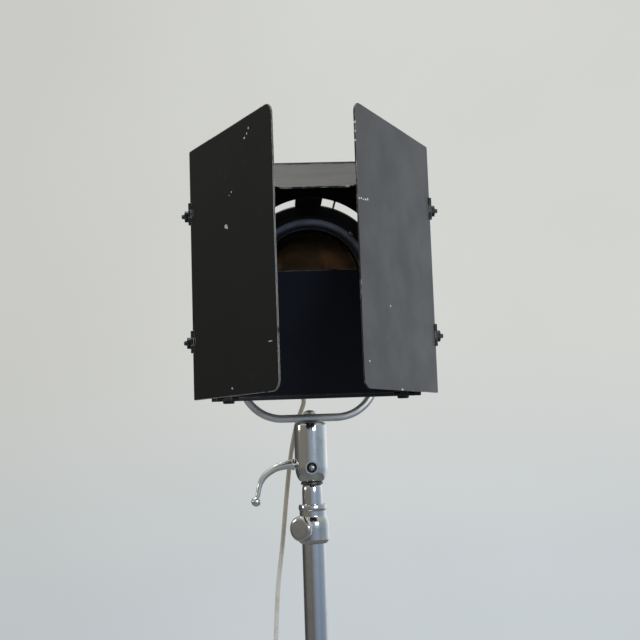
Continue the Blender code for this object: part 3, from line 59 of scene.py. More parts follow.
def about(axis, degrees):
    return Matrix.Rotation(RAD(degrees), 4, axis)


HEAD = moved(0, 0, HEAD_HEIGHT)
BACKWARD = about("X", -90)  # a piece's own +Z points to the head's rear
FORWARD = about("X", 90)
RIGHTWARD = about("Y", 90)


# Camera


def make_camera():
    data = bpy.data.cameras.new("camera")
    data.sensor_width = 36
    data.lens = 57.648
    data.clip_start = 0.05
    data.clip_end = 60
    turn = Matrix.Rotation(-0.04878, 3, "Z") @ Matrix.Rotation(0.11281, 3, "X")
    right, ahead, down = (turn @ Vector(v) for v in ((1, 0, 0), (0, 1, 0), (0, 0, -1)))
    roll = 0.03392
    across = right * cos(roll) + down * sin(roll)
    below = down * cos(roll) - right * sin(roll)
    place = Matrix((across, -below, -ahead)).transposed().to_4x4()
    place.translation = (-0.03636, -1.01798, 1.28169)
    camera = bpy.data.objects.new("camera", data)
    SCENE.collection.objects.link(camera)
    camera.matrix_world = place
    SCENE.camera = camera


make_camera()


# Materials


class Nodes:
    """A node tree, with a call for each kind of node that the materials and the room need."""

    def __init__(self, tree):
        self.tree = tree

    def put(self, socket, value):
        if isinstance(value, bpy.types.NodeSocket):
            self.tree.links.new(value, socket)
        elif isinstance(value, tuple) and len(value) == 3 and len(socket.default_value) == 4:
            socket.default_value = (*value, 1)
        else:
            socket.default_value = value

    def node(self, kind, inputs, out=0, **settings):
        made = self.tree.nodes.new("ShaderNode" + kind)
        for key, value in settings.items():
            setattr(made, key, value)
        for key, value in inputs.items():
            self.put(made.inputs[key], value)
        return made.outputs[out]

    def math(self, operation, a, b=0.0):
        return self.node("Math", {0: a, 1: b}, operation=operation)

    def times(self, a, b):
        return self.math("MULTIPLY", a, b)

    def ramp(self, value, low, high, to_low=0.0, to_high=1.0):
        values = {"Value": value, "From Min": low, "From Max": high, "To Min": to_low, "To Max": to_high}
        return self.node("MapRange", values, interpolation_type="SMOOTHSTEP")

    def mix(self, share, a, b, blend="MIX"):
        return self.node("Mix", {0: share, 6: a, 7: b}, 2, data_type="RGBA", blend_type=blend)


class Paint(Nodes):
    """A node material. Its texture space is the piece's own, in metres."""

    def __init__(self, name, **sockets):
        self.material = bpy.data.materials.new(name)
        self.material.use_nodes = True
        super().__init__(self.material.node_tree)
        self.shader = self.tree.nodes["Principled BSDF"]
        self.place = self.node("TexCoord", {}, "Object")
        for socket, value in sockets.items():
            self.set(socket.replace("_", " "), value)

    def set(self, socket, value):
        self.put(self.shader.inputs[socket], value)

    def along(self, axis):
        return self.node("SeparateXYZ", {0: self.place}, axis)

    def stretched(self, stretch):
        return self.node("Mapping", {"Vector": self.place, "Scale": stretch})

    def noise(self, scale, detail=3.0, rough=0.5, stretch=None):
        place = self.stretched(stretch) if stretch else self.place
        values = {"Vector": place, "Scale": scale, "Detail": detail, "Roughness": rough}
        return self.node("TexNoise", values, "Fac")

    def spots(self, scale, stretch=(1, 1, 1)):
        return self.node("TexVoronoi", {"Vector": self.stretched(stretch), "Scale": scale}, "Distance")

    def edges(self, radius, low=0.97, high=0.80):
        """Where the surface turns sharply within that radius."""
        soft = self.node("Bevel", {"Radius": radius}, samples=4)
        hard = self.node("NewGeometry", {}, "Normal")
        dot = self.node("VectorMath", {0: soft, 1: hard}, "Value", operation="DOT_PRODUCT")
        return self.ramp(dot, low, high)

    def bump(self, height, strength, distance=0.0002):
        values = {"Height": height, "Strength": strength, "Distance": distance}
        link = self.shader.inputs["Normal"]
        if link.is_linked:
            values["Normal"] = link.links[0].from_socket
        self.put(link, self.node("Bump", values))


def black_paint(
    name, colour, scuff, rough=(0.45, 0.52), level=0.3, wear=0.75, chips=(), arris=0.00036,
    bitten=(0.36, 0.50), lit_hinge_strip=None,
):
    """Satin black enamel on sheet metal, worn to bare metal along its edges.

    The arris is the width that is worn, and bitten the noise between which it wears. Chips are ellipses on
    the leaf's outline. The strip along its hinge can be painted a lighter colour, as painted light from the
    floor.
    """
    p = Paint(name, Specular_IOR_Level=level)
    cloud = p.noise(9, 4, 0.6)
    fine = p.noise(340, 2, 0.6)
    base = p.mix(p.ramp(cloud, 0.3, 0.7), colour, tuple(c * 1.25 for c in colour))
    rub = p.noise(55, 5, 0.72, stretch=(1, 1, 0.25))
    rubbed = p.times(p.ramp(rub, 0.60, 0.74), p.ramp(cloud, 0.45, 0.62))
    base = p.mix(p.times(rubbed, 0.5), base, scuff)
    # Painted light: the strip along the hinge is painted lighter, for the floor's light that it catches
    if lit_hinge_strip:
        base = p.mix(p.ramp(p.along("X"), 0.0040, 0.0018), base, lit_hinge_strip)
    line = p.noise(30, 3, 0.6, stretch=(14, 1, 1))
    scratch = p.times(p.ramp(line, 0.735, 0.765), p.ramp(p.noise(21), 0.52, 0.60))
    base = p.mix(p.times(scratch, 0.5), base, (0.16, 0.16, 0.155))
    bite = p.ramp(p.noise(120, 4, 0.7, stretch=(1, 0.5, 1)), *bitten)
    bare = p.times(p.times(p.edges(arris), bite), wear)
    chipped = p.ramp(p.spots(75, stretch=(1, 1, 0.3)), 0.028, 0.016)
    chipped = p.times(chipped, p.ramp(p.noise(13), 0.60, 0.66))
    for x, y, wide, tall in chips:
        values = {"Vector": p.place, "Location": (-x / wide, -y / tall, 0), "Scale": (1 / wide, 1 / tall, 0)}
        away = p.node("Mapping", values)
        near = p.node("VectorMath", {0: away}, "Value", operation="LENGTH")
        ragged = p.times(p.noise(700, 2, 0.6), 0.7)
        chipped = p.math("MAXIMUM", chipped, p.ramp(p.math("ADD", near, ragged), 1.45, 1.25))
    base = p.mix(bare, base, (0.82, 0.81, 0.78))
    p.set("Base Color", p.mix(chipped, base, (0.78, 0.77, 0.74)))
    flaked = p.math("MAXIMUM", bare, chipped)
    dull = p.ramp(p.noise(24, 4, 0.6), 0.3, 0.7, *rough)
    p.set("Roughness", p.math("ADD", dull, p.times(flaked, 0.12)))
    p.set("Metallic", p.times(bare, 0.15))
    p.bump(fine, 0.10, 0.00008)
    p.bump(flaked, 0.5, -0.0001)
    return p.material


def bare_metal(name, colour, rough, stain, grain=0.12, wear=0.5, pits=0.0, painted_hollow_shade=None, dulled=0.18):
    """Plated or polished metal with wiping marks, dull stained patches, pits, and painted shade in a hollow.
    """
    p = Paint(name, Metallic=1.0)
    cloud = p.noise(38, 4, 0.65)
    fine = p.noise(260, 3, 0.6, stretch=(1, 1, 6))
    stained = p.times(p.ramp(cloud, 0.46, 0.70), wear)
    base = p.mix(stained, colour, stain)
    if painted_hollow_shade:
        # Painted shade: near black within a radius of a point, for a shaded recess
        at, radius = painted_hollow_shade
        away = p.node("VectorMath", {0: p.place, 1: at}, operation="SUBTRACT")
        near = p.node("VectorMath", {0: away}, "Value", operation="LENGTH")
        base = p.mix(p.ramp(near, radius, radius * 0.88), base, (0.03, 0.028, 0.024))
    p.set("Base Color", base)
    dull = p.math("MULTIPLY_ADD", fine, grain)
    dull.node.inputs[2].default_value = rough - grain * 0.5
    p.set("Roughness", p.math("ADD", dull, p.times(stained, dulled)))
    p.bump(fine, 0.05, 0.00003)
    if pits:
        p.bump(p.ramp(p.spots(520), 0.10, 0.22), pits, 0.00008)
        p.bump(p.noise(120, 4, 0.6), pits, 0.0002)
    return p.material


def moulded(
    name, colour, dirt, rough=(0.35, 0.5), grain=600, strength=0.12, level=0.5, patches=0.5, painted_head_shade=None,
):
    """Plastic, rubber or ceramic: a fine moulded grain with grime in patches."""
    p = Paint(name, Specular_IOR_Level=level)
    cloud = p.noise(45, 4, 0.65)
    soiled = p.times(p.ramp(cloud, 0.45, 0.72), patches)
    rim = p.times(p.edges(0.0008), 0.35)
    base = p.mix(soiled, colour, dirt)
    if painted_head_shade:
        # Painted shade: darker and browner towards the top, where the head shades the lead
        base = p.mix(p.ramp(p.along("Z"), 1.12, 1.24), base, painted_head_shade)
    p.set("Base Color", p.mix(rim, base, tuple(min(1, c * 1.6 + 0.02) for c in colour)))
    p.set("Roughness", p.ramp(p.noise(130, 3, 0.6), 0.3, 0.7, *rough))
    p.bump(p.noise(grain, 2, 0.6), strength, 0.00010)
    return p.material


def glass(name, colour, rough, ior, painted_shade=None):
    """Clear or tinted glass with a film of dust; its tint can be painted darker towards one end of its own
    Y, as painted shade.
    """
    p = Paint(name, IOR=ior, Transmission_Weight=1.0)
    dust = p.ramp(p.noise(60, 5, 0.7), 0.45, 0.75)
    tint = p.mix(dust, colour, tuple(c * 0.72 for c in colour))
    # Painted shade: the tint darkens along the glass's own Y
    if painted_shade:
        height = p.along("Y")
        tint = p.mix(p.ramp(height, *painted_shade), tint, tuple(c * 0.16 for c in colour))
    p.set("Base Color", tint)
    p.set("Roughness", p.ramp(p.noise(90, 4, 0.7), 0.35, 0.75, rough, rough + 0.08))
    p.bump(p.noise(35, 2, 0.5), 0.02, 0.0001)
    return p.material


SCREW_DROP = -0.1685  # of the adapter's screw, below the head's middle
LEAF_SCUFF = (0.05, 0.05, 0.05)
ENAMEL = black_paint("black_enamel", (0.0085, 0.0088, 0.0095), LEAF_SCUFF)
# Less worn and darker than the leaves' enamel, for the door plate, its rivets and the brackets: the lighter
# wear is real, the darker colour is painted shade
ENAMEL_INSIDE = black_paint("black_enamel_sheltered_and_shaded", (0.006, 0.006, 0.0065), (0.02, 0.02, 0.02), wear=0.5)
CHROME = bare_metal("chrome_plate", (0.66, 0.67, 0.68), 0.16, (0.36, 0.34, 0.31), dulled=0.08)
CAST = bare_metal(
    "polished_casting", (0.62, 0.62, 0.61), 0.13, (0.40, 0.38, 0.35), grain=0.07, pits=0.06,
    dulled=0.06,
)
BRUSHED = bare_metal("brushed_bar", (0.80, 0.80, 0.78), 0.40, (0.46, 0.44, 0.40), pits=0.10)
# Painted shade darkens the recess round the adapter's screw
RECESSED = bare_metal(
    "polished_adapter", (0.66, 0.66, 0.65), 0.11, (0.44, 0.42, 0.39), grain=0.05, pits=0.04,
    dulled=0.04, painted_hollow_shade=((0, -0.0135, SCREW_DROP), 0.0066),
)
# Painted light: a paler, slightly green copy of the chrome, for the bright wall's light around the thin
# lever
LEVER = bare_metal("plated_lever", (0.80, 0.82, 0.80), 0.24, (0.50, 0.49, 0.45))
STEEL = bare_metal("plain_steel", (0.42, 0.42, 0.41), 0.34, (0.20, 0.17, 0.14))
# Dark oiled steel for screws; on the spigot it is painted shade
DARK_STEEL = bare_metal("oiled_screws_and_shaded_spigot", (0.12, 0.12, 0.115), 0.38, (0.05, 0.045, 0.04))
BRASS = bare_metal("brass_pin", (0.63, 0.50, 0.27), 0.28, (0.32, 0.23, 0.12))
MIRROR = bare_metal("spun_reflector", (0.74, 0.66, 0.54), 0.16, (0.50, 0.40, 0.28))
BAKELITE = moulded("black_bakelite", (0.016, 0.015, 0.014), (0.05, 0.045, 0.04), (0.22, 0.42))
RUBBER = moulded("black_rubber", (0.014, 0.014, 0.014), (0.06, 0.055, 0.05), (0.62, 0.82), 420, 0.3)
# The lead is painted darker and browner near the head, as painted shade
IVORY_CORD = moulded(
    "ivory_lead", (0.94, 0.92, 0.85), (0.74, 0.66, 0.52), (0.40, 0.58), 500, 0.10, patches=0.6,
    painted_head_shade=(0.66, 0.58, 0.44),
)
IVORY = moulded("ivory_plastic", (0.60, 0.56, 0.44), (0.34, 0.30, 0.21), (0.30, 0.48), 700, 0.08)
CERAMIC = moulded("glazed_ceramic", (0.70, 0.67, 0.60), (0.33, 0.27, 0.20), (0.28, 0.50), 300, 0.15)
# Painted reflection and shade: the amber tint stands for the warm brown seen in the lens, and it is painted
# darker towards the lens's top
LENS_GLASS = glass("lens_painted_warm_reflection", (0.66, 0.43, 0.23), 0.10, 1.5, painted_shade=(-0.016, -0.037))
LAMP_GLASS = glass("lamp_glass", (0.90, 0.88, 0.84), 0.04, 1.45)
FILAMENT = bare_metal("tungsten", (0.35, 0.34, 0.33), 0.4, (0.2, 0.19, 0.18))


# Mesh helpers


def mm(*points):
    """Points given in millimetres."""
    return [tuple(value / 1000 for value in point) for point in points]


def linked(name, data, place=Matrix()):
    obj = bpy.data.objects.new(name, data)
    SCENE.collection.objects.link(obj)
    obj.matrix_world = place
    return obj


def smoothed(data, angle=32):
    data.shade_smooth()
    data.set_sharp_from_angle(angle=RAD(angle))
    return data


def from_bmesh(name, bm, place=Matrix(), angle=32):
    bmesh.ops.recalc_face_normals(bm, faces=bm.faces)
    data = bpy.data.meshes.new(name)
    bm.to_mesh(data)
    bm.free()
    return linked(name, smoothed(data, angle), place)


def held(profile, ring):
    """The profile with a point near each end of its long stretches, so that these are shaded straight."""
    points = list(profile)
    closed = points + points[:1] if ring else points
    rows = []
    for (r, h), (q, k) in zip(closed, closed[1:]):
        rows.append((r, h))
        length = hypot(q - r, k - h)
        if length > 0.0035:
            for share in (0.0005 / length, 1 - 0.0005 / length):
                rows.append((r + (q - r) * share, h + (k - h) * share))
    return rows if ring else rows + points[-1:]


def turned(name, profile, place=Matrix(), steps=64, ring=False, shape=None):
    """A turned piece about its own Z. The profile is (radius, height) points; shape changes a radius."""
    bm = bmesh.new()
    rows = []
    for r, h in held(profile, ring):
        if r < 1e-7:
            rows.append([bm.verts.new((0, 0, h))])
            continue
        row = []
        for step in range(steps):
            a = 2 * pi * step / steps
            q = shape(r, h, a) if shape else r
            row.append(bm.verts.new((q * cos(a), q * sin(a), h)))
        rows.append(row)
    pairs = list(zip(rows, rows[1:]))
    if ring:
        pairs.append((rows[-1], rows[0]))
    for upper, lower in pairs:
        for at in range(steps):
            ahead = (at + 1) % steps
            if len(upper) == 1 and len(lower) == 1:
                break
            if len(upper) == 1:
                bm.faces.new((upper[0], lower[at], lower[ahead]))
            elif len(lower) == 1:
                bm.faces.new((upper[at], upper[ahead], lower[0]))
            else:
                bm.faces.new((upper[at], upper[ahead], lower[ahead], lower[at]))
    return from_bmesh(name, bm, place)


def swept(name, points, radii, place=Matrix(), sides=16):
    """A closed tube along the points, with a radius at each."""
    points = [Vector(p) for p in points]
    if not isinstance(radii, (list, tuple)):
        radii = [radii] * len(points)
    bm = bmesh.new()
    rows, side = [], None
    for at, point in enumerate(points):
        ahead = points[min(at + 1, len(points) - 1)] - points[max(at - 1, 0)]
        ahead.normalize()
        if side is None:
            side = ahead.orthogonal().normalized()
        side = (side - ahead * side.dot(ahead)).normalized()
        other = ahead.cross(side)
        row = []
        for step in range(sides):
            a = 2 * pi * step / sides
            row.append(bm.verts.new(point + (side * cos(a) + other * sin(a)) * radii[at]))
        rows.append(row)
    for first, second in zip(rows, rows[1:]):
        for at in range(sides):
            ahead = (at + 1) % sides
            bm.faces.new((first[at], first[ahead], second[ahead], second[at]))
    bm.faces.new(rows[0][::-1])
    bm.faces.new(rows[-1])
    return from_bmesh(name, bm, place, 50)


def slab(name, outline, low, high, place=Matrix()):
    """A flat outline, counter-clockwise, from one height to another."""
    bm = bmesh.new()
    lower = [bm.verts.new((x, y, low)) for x, y in outline]
    upper = [bm.verts.new((x, y, high)) for x, y in outline]
    bm.faces.new(lower[::-1])
    bm.faces.new(upper)
    for at in range(len(outline)):
        ahead = (at + 1) % len(outline)
        bm.faces.new((lower[at], lower[ahead], upper[ahead], upper[at]))
    return from_bmesh(name, bm, place)


def block(name, low, high, place=Matrix()):
    low, high = Vector(low), Vector(high)
    outline = [(low.x, low.y), (high.x, low.y), (high.x, high.y), (low.x, high.y)]
    return slab(name, outline, low.z, high.z, place)


def rod(name, start, end, radius, place=Matrix(), sides=32, end_radius=None, chamfer=0.0):
    """A round bar from start to end, with chamfered ends."""
    start, end = Vector(start), Vector(end)
    along = end - start
    turn = Vector((0, 0, 1)).rotation_difference(along.normalized()).to_matrix().to_4x4()
    length, last = along.length, radius if end_radius is None else end_radius
    profile = [
        (0, length), (last - chamfer, length), (last, length - chamfer), (radius, chamfer),
        (radius - chamfer, 0), (0, 0),
    ]
    if not chamfer:
        profile = [(0, length), (last, length), (radius, 0), (0, 0)]
    return turned(name, profile, place @ Matrix.Translation(start) @ turn, sides)


def ball(name, centre, radius, place=Matrix(), steps=24):
    return turned(name, arc((0, 0), radius, pi / 2, -pi / 2, 13), place @ Matrix.Translation(centre), steps)


def hexagon(name, low, high, across, place=Matrix()):
    """A hexagon nut or bolt head with its corners turned off."""
    corner, chamfer = across / cos(RAD(30)), (high - low) * 0.16
    outline = [(corner * cos(RAD(60 * k)), corner * sin(RAD(60 * k))) for k in range(6)]
    reach, tip = across + (high - low) * 0.34 + 0.0005, across + chamfer - 0.003
    cone = [(0, high + 0.002), (tip, high + 0.002), (reach, high - chamfer)]
    cone += [(reach, low + chamfer), (tip, low - 0.002), (0, low - 0.002)]
    form = turned(name + "_form", cone, place, 36)
    return boolean(slab(name, outline, low, high, place), form, "INTERSECT")


def applied(obj):
    """The object with its modifiers made final."""
    bpy.context.view_layer.update()
    data = bpy.data.meshes.new_from_object(obj.evaluated_get(bpy.context.evaluated_depsgraph_get()))
    obj.modifiers.clear()
    obj.data = smoothed(data)
    return obj


def boolean(obj, other, operation="DIFFERENCE"):
    step = obj.modifiers.new("boolean", "BOOLEAN")
    step.operation = operation
    step.solver = "EXACT"
    step.object = other
    applied(obj)
    bpy.data.objects.remove(other)
    return obj


def cut(obj, *others):
    for other in others:
        boolean(obj, other)
    return obj


def union(obj, *others):
    for other in others:
        boolean(obj, other, "UNION")
    return obj


def joined(name, *objects):
    """One object of several closed shells, in the first one's place."""
    bm = bmesh.new()
    bpy.context.view_layer.update()
    home = objects[0].matrix_world.copy()
    for obj in objects:
        data = obj.data.copy()
        data.transform(home.inverted() @ obj.matrix_world)
        bm.from_mesh(data)
        bpy.data.meshes.remove(data)
    for obj in objects:
        bpy.data.objects.remove(obj)
    return from_bmesh(name, bm, home)


def rounded_edges(obj, width, segments=2, angle=35):
    bevel = obj.modifiers.new("rounded_edges", "BEVEL")
    bevel.width = width
    bevel.segments = segments
    bevel.limit_method = "ANGLE"
    bevel.angle_limit = RAD(angle)
    bevel.use_clamp_overlap = True
    return obj


def softened(obj, *bevel):
    return applied(rounded_edges(obj, *bevel))


def placed(obj, body, paint, slot, *nodes):
    """Gives a finished piece its material, and the body and nodes it stands for. The slot is not used."""
    obj.data.materials.clear()
    obj.data.materials.append(paint)
    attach(obj, body)
    if nodes:
        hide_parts(*nodes)
    return obj


def arc(centre, radius, start, end, count, tall=None):
    """Points along an arc, or along an ellipse that is as tall as told."""
    turns = [start + (end - start) * step / (count - 1) for step in range(count)]
    return [(centre[0] + radius * cos(t), centre[1] + (tall or radius) * sin(t)) for t in turns]


def rounded(corners, radii, count=9):
    """The outline with each corner rounded to its radius."""
    outline = []
    for at, (corner, radius) in enumerate(zip(corners, radii)):
        here = Vector(corner)
        before = (Vector(corners[at - 1]) - here).normalized()
        after = (Vector(corners[(at + 1) % len(corners)]) - here).normalized()
        if radius <= 0:
            outline.append(tuple(here))
            continue
        half = before.angle(after) / 2
        away = radius / tan(half)
        centre = here + (before + after).normalized() * radius / sin(half)
        first, last = here + before * away - centre, here + after * away - centre
        sweep = first.angle_signed(last)
        for step in range(count):
            outline.append(tuple(centre + Matrix.Rotation(-sweep * step / (count - 1), 2) @ first))
    return outline


def panel(left, low, right, high, radius, count=9):
    """A rectangle with its corners rounded, all alike or each to its own radius."""
    radii = radius if isinstance(radius, list) else [radius] * 4
    return rounded([(left, low), (right, low), (right, high), (left, high)], radii, count)


def smooth_line(points, count=12):
    """A Catmull-Rom curve through the points."""
    ends = [2 * Vector(points[0]) - Vector(points[1])]
    ends += [Vector(p) for p in points]
    ends.append(2 * Vector(points[-1]) - Vector(points[-2]))
    line = []
    for a, b, c, d in zip(ends, ends[1:], ends[2:], ends[3:]):
        for step in range(count):
            t = step / count
            curve = 2 * b + (c - a) * t + (2 * a - 5 * b + 4 * c - d) * t * t
            line.append((curve + (3 * b - a - 3 * c + d) * t**3) / 2)
    return line + [Vector(points[-1])]


# Lead: it hangs from the strain relief to the switch, and goes on to the coil and the plug

LEAD_RADIUS = 0.0023
GLAND = Vector((-0.0045, 0.0450, 0))
# Below the housing, gland and strain relief
LEAD_TOP = HEAD_HEIGHT - 0.0605 - 0.0006 - 0.013 - GAP - 0.0245 - GAP
LEAD_ROUTE = [
    (-0.0045, 0.0450, LEAD_TOP), (-0.0047, 0.0450, 1.3150), (-0.0120, 0.0452, 1.2950),
    (-0.0190, 0.0455, 1.2640), (-0.0243, 0.0460, 1.2260), (-0.0303, 0.0465, 1.1740),
    (-0.0363, 0.0470, 1.1285), (-0.0397, 0.0475, 1.0794), (-0.0430, 0.0480, 1.0200),
    (-0.0490, 0.0500, 0.9000), (-0.0550, 0.0520, 0.7200), (-0.0590, 0.0560, 0.5000),
    (-0.0620, 0.0620, 0.3000), (-0.0660, 0.0720, 0.1500), (-0.0700, 0.0810, 0.0800),
    (-0.0790, 0.0910, 0.0330), (-0.0960, 0.0990, 0.0080), (-0.1200, 0.1030, 0.0030),
    (-0.1400, 0.0975, 0.0040),
]
LEAD_JOINTS = (1.0200, 0.7200)  # heights at which its hanging stretches meet
FLOOR_ROUTE = [
    (-0.2252, 0.0586, 0.0056), (-0.2364, 0.0566, 0.0038), (-0.2471, 0.0605, 0.0028),
    (-0.2544, 0.0692, 0.0028), (-0.2564, 0.0804, 0.0028), (-0.2525, 0.0911, 0.0028),
    (-0.2311, 0.1216, 0.0028), (-0.2098, 0.1520, 0.0028), (-0.2045, 0.1629, 0.0028),
    (-0.2026, 0.1749, 0.0028),
]
SWITCH = Vector((-0.188, 0.076, 0.0068))
SWITCH_HEADING = RAD(205)
SWITCH_SIZE = (0.058, 0.024, 0.017)
COIL = Vector((-0.170, 0.205, 0))
RINGS = (0.0324, 0.0276, 0.0228)  # radii of the outer, middle and inner turns
LAYERS = (0.0028, 0.0076, 0.0124)  # heights of the turns
PLUG_HEADING = RAD(-35)
PLUG_BOOT = 0.022
PLUG_LENGTH = 0.033
PLUG_WIDTH = 0.035
PLUG_HEIGHT = 0.0137
PIN_SPACING = 0.019


def coil_line():
    """The coil's turns, clockwise from its west side. Each lies in its slot and steps to the next."""
    # In over the floor, up, out again, and down into the free place under the last turn
    order = ((0, 0), (1, 0), (2, 0), (2, 1), (1, 1), (1, 2), (0, 2), (0, 1))
    slots = [(RINGS[ring], LAYERS[layer]) for ring, layer in order]
    first, turn, step, last = 280, 335, 80, 125 + 360 * 7
    keys = [(0, slots[0])]
    for at, slot in enumerate(slots[1:]):
        keys += [(first + turn * at, keys[-1][1]), (first + turn * at + step, slot)]
    keys.append((last, keys[-1][1]))
    line = []
    for degree in range(0, last + 1, 5):
        for (a, from_place), (b, to_place) in zip(keys, keys[1:]):
            if a <= degree <= b and b > a:
                share = (degree - a) / (b - a)
                share = share * share * (3 - 2 * share)
                r, z = (low + (high - low) * share for low, high in zip(from_place, to_place))
                break
        angle = RAD(180 - degree)
        line.append(COIL + Vector((r * cos(angle), r * sin(angle), z)))
    return line


def eased(line, spacing=0.003, passes=14):
    """The line with even spacing and its tightest bends opened a little. Its ends stay."""
    travelled = [0.0]
    for a, b in zip(line, line[1:]):
        travelled.append(travelled[-1] + (b - a).length)
    count = round(travelled[-1] / spacing)
    points, at = [], 0
    for step in range(count + 1):
        want = travelled[-1] * step / count
        while at < len(line) - 2 and travelled[at + 1] < want:
            at += 1
        share = (want - travelled[at]) / max(travelled[at + 1] - travelled[at], 1e-9)
        points.append(line[at].lerp(line[at + 1], min(share, 1.0)))
    for _ in range(passes):
        middle = [(a + 2 * b + c) / 4 for a, b, c in zip(points, points[1:], points[2:])]
        points = [points[0], points[1], *middle[1:-1], points[-2], points[-1]]
    return points


def split_at(line, height):
    """The line above and below a height."""
    for at, (a, b) in enumerate(zip(line, line[1:])):
        if b.z <= height < a.z:
            middle = a.lerp(b, (a.z - height) / (a.z - b.z))
            return line[: at + 1] + [middle], [middle] + line[at + 1 :]


def ahead_at(heading):
    return Vector((cos(heading), sin(heading), 0))


def make_lead():
    heading = ahead_at(SWITCH_HEADING)
    end = heading * (SWITCH_SIZE[0] / 2 + GAP)
    enter, leave = SWITCH - end, SWITCH + end
    upper, rest = split_at(smooth_line(LEAD_ROUTE + [enter - heading * 0.006, enter]), LEAD_JOINTS[0])
    middle, lower = split_at(rest, LEAD_JOINTS[1])
    stretches = (
        ("upper", upper, ("head", "yoke"), (1.3180, 1.1300)),
        ("middle", middle, ("yoke", "upper_tube"), LEAD_JOINTS),
        ("lower", lower, ("upper_tube", "stand"), (LEAD_JOINTS[1], 0.1400)),
    )
    for name, points, bodies, (start, stop) in stretches:
        piece = swept("lead_%s_stretch" % name, points, LEAD_RADIUS)
        piece.data.materials.append(IVORY_CORD)
        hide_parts("lead_" + name)
        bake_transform(piece)
    turns = coil_line()
    plug_way = ahead_at(PLUG_HEADING)
    boot = plug_origin()
    tail = [turns[-1], turns[-1] + plug_way * 0.007, boot - plug_way * 0.004, boot]
    route = [leave, leave + heading * 0.006, *FLOOR_ROUTE, turns[0] - Vector((0.0003, 0.012, 0)), turns[0]]
    floor = eased(smooth_line(route))[:-1] + turns + smooth_line(tail, 4)[1:]
    piece = swept("lead_floor_and_coil", floor, LEAD_RADIUS)
    return placed(piece, "stand", IVORY_CORD, "ivory_lead", "lead_floor", "lead_coil"), floor


def plug_origin():
    """Where the boot starts, so that the lead leaves the coil on a tangent and clears its turns."""
    way = ahead_at(PLUG_HEADING)
    side = Vector((-way.y, way.x, 0))
    tangent, clear = 0.0327, 0.0353
    start = sqrt(clear**2 - (tangent - LEAD_RADIUS - 0.0010) ** 2)
    origin = COIL + side * tangent + way * start
    return Vector((origin.x, origin.y, PLUG_HEIGHT / 2))


def make_tie():
    """A thin strap round the coil's turns."""
    low, high = (RINGS[2] - 0.0025, LAYERS[0] - 0.0024), (RINGS[0] + 0.0025, LAYERS[2] + 0.0025)
    place = Matrix.Translation(COIL) @ about("Z", -60) @ FORWARD

    def loop(name, more, half):
        corners = [(low[0] - more, low[1] - more * 0.5), (high[0] + more, low[1] - more * 0.5)]
        corners += [(high[0] + more, high[1] + more), (low[0] - more, high[1] + more)]
        return slab(name, rounded(corners, [0.0022] * 4, 9), -half, half, place)

    tie = cut(loop("coil_tie", 0.0005, 0.0022), loop("inside", 0, 0.004))
    placed(rounded_edges(tie, 0.0001, 2, 40), "stand", RUBBER, "black_rubber")


def make_plug():
    place = Matrix.Translation(plug_origin()) @ Matrix.Rotation(PLUG_HEADING, 4, "Z")
    half = PLUG_WIDTH / 2
    near, far = PLUG_BOOT, PLUG_BOOT + PLUG_LENGTH
    corners = mm(
        (22, -7.5), (34, -8.5), (45, -17.5), (55, -17.5), (55, 17.5), (45, 17.5), (34, 8.5), (22, 7.5),
    )
    outline = rounded(corners, [0.003, 0.006, 0.005, 0.003, 0.003, 0.005, 0.006, 0.003])
    top = PLUG_HEIGHT / 2 - 0.0002
    body = softened(slab("plug_moulding", outline, -top, top, place), 0.003, 4, 60)
    # Ribs on the boot, then finger grooves on the body
    profile = []
    for step in range(12):
        x = step * 0.0021
        r = 0.0034 + 0.0022 * step / 11
        profile += [(r, x), (r, x + 0.0013), (r - 0.0006, x + 0.0014), (r - 0.0006, x + 0.0020)]
    profile = [(0, 0)] + profile[:-2] + [(0, profile[-3][1])]
    union(body, turned("boot", profile[::-1], place @ RIGHTWARD, 32))
    for side in (-1, 1):
        for step in range(4):
            x = far - 0.017 + step * 0.0034
            y = side * (half - 0.0038 + step * 0.0030 if step < 2 else half - 0.0002)
            z = top + 0.001
            cut(body, rod("groove", (x, y, -z), (x, y, z), 0.0009, place, 16))
    for z in (-1, 1):
        ends = (near + 0.012, 0, z * (top - 0.0012)), (near + 0.012, 0, z * (top + 0.001))
        cut(body, rod("screw_well", *ends, 0.0026, place, 24))
    piece = placed(rounded_edges(body, 0.0003, 2, 30), "stand", IVORY, "ivory_plastic", "plug_body")
    screw = screw_head("plug_screw", 0.0023, 0.0010, place @ moved(near + 0.012, 0, top - 0.0012))
    placed(screw, "stand", STEEL, "steel")
    parts = [piece, screw]
    for side, name in SIDES:
        y = -side * PIN_SPACING / 2
        pin_place = place @ moved(far - 0.008, y, 0) @ RIGHTWARD
        profile = mm(
            (0, 27), (0.9, 26.9), (1.7, 26.2), (2, 25), (2, 17.5), (1.85, 17.2), (1.85, 16.5),
            (2, 16.2), (2, 0), (0, 0),
        )
        pin = turned("plug_pin_turned_" + name, profile, pin_place, 32)
        parts.append(placed(pin, "stand", BRASS, "steel", "plug_pin_" + name))
    return parts


def screw_head(name, radius, height, place, slot_width=None, domed=True):
    """A slotted screw head that stands on its own XY plane."""
    crown = radius * 0.25 if domed else 0.0001
    profile = [(0, height), (radius * 0.5, height - crown * 0.22), (radius * 0.86, height - crown * 0.8)]
    profile += [(radius, height - crown - 0.0001), (radius, 0), (0, 0)]
    wide, reach = slot_width or radius * 0.16, radius * 1.2
    slot = block("slot", (-reach, -wide, height * 0.45), (reach, wide, height * 2), place)
    return cut(turned(name, profile, place, 32), slot)


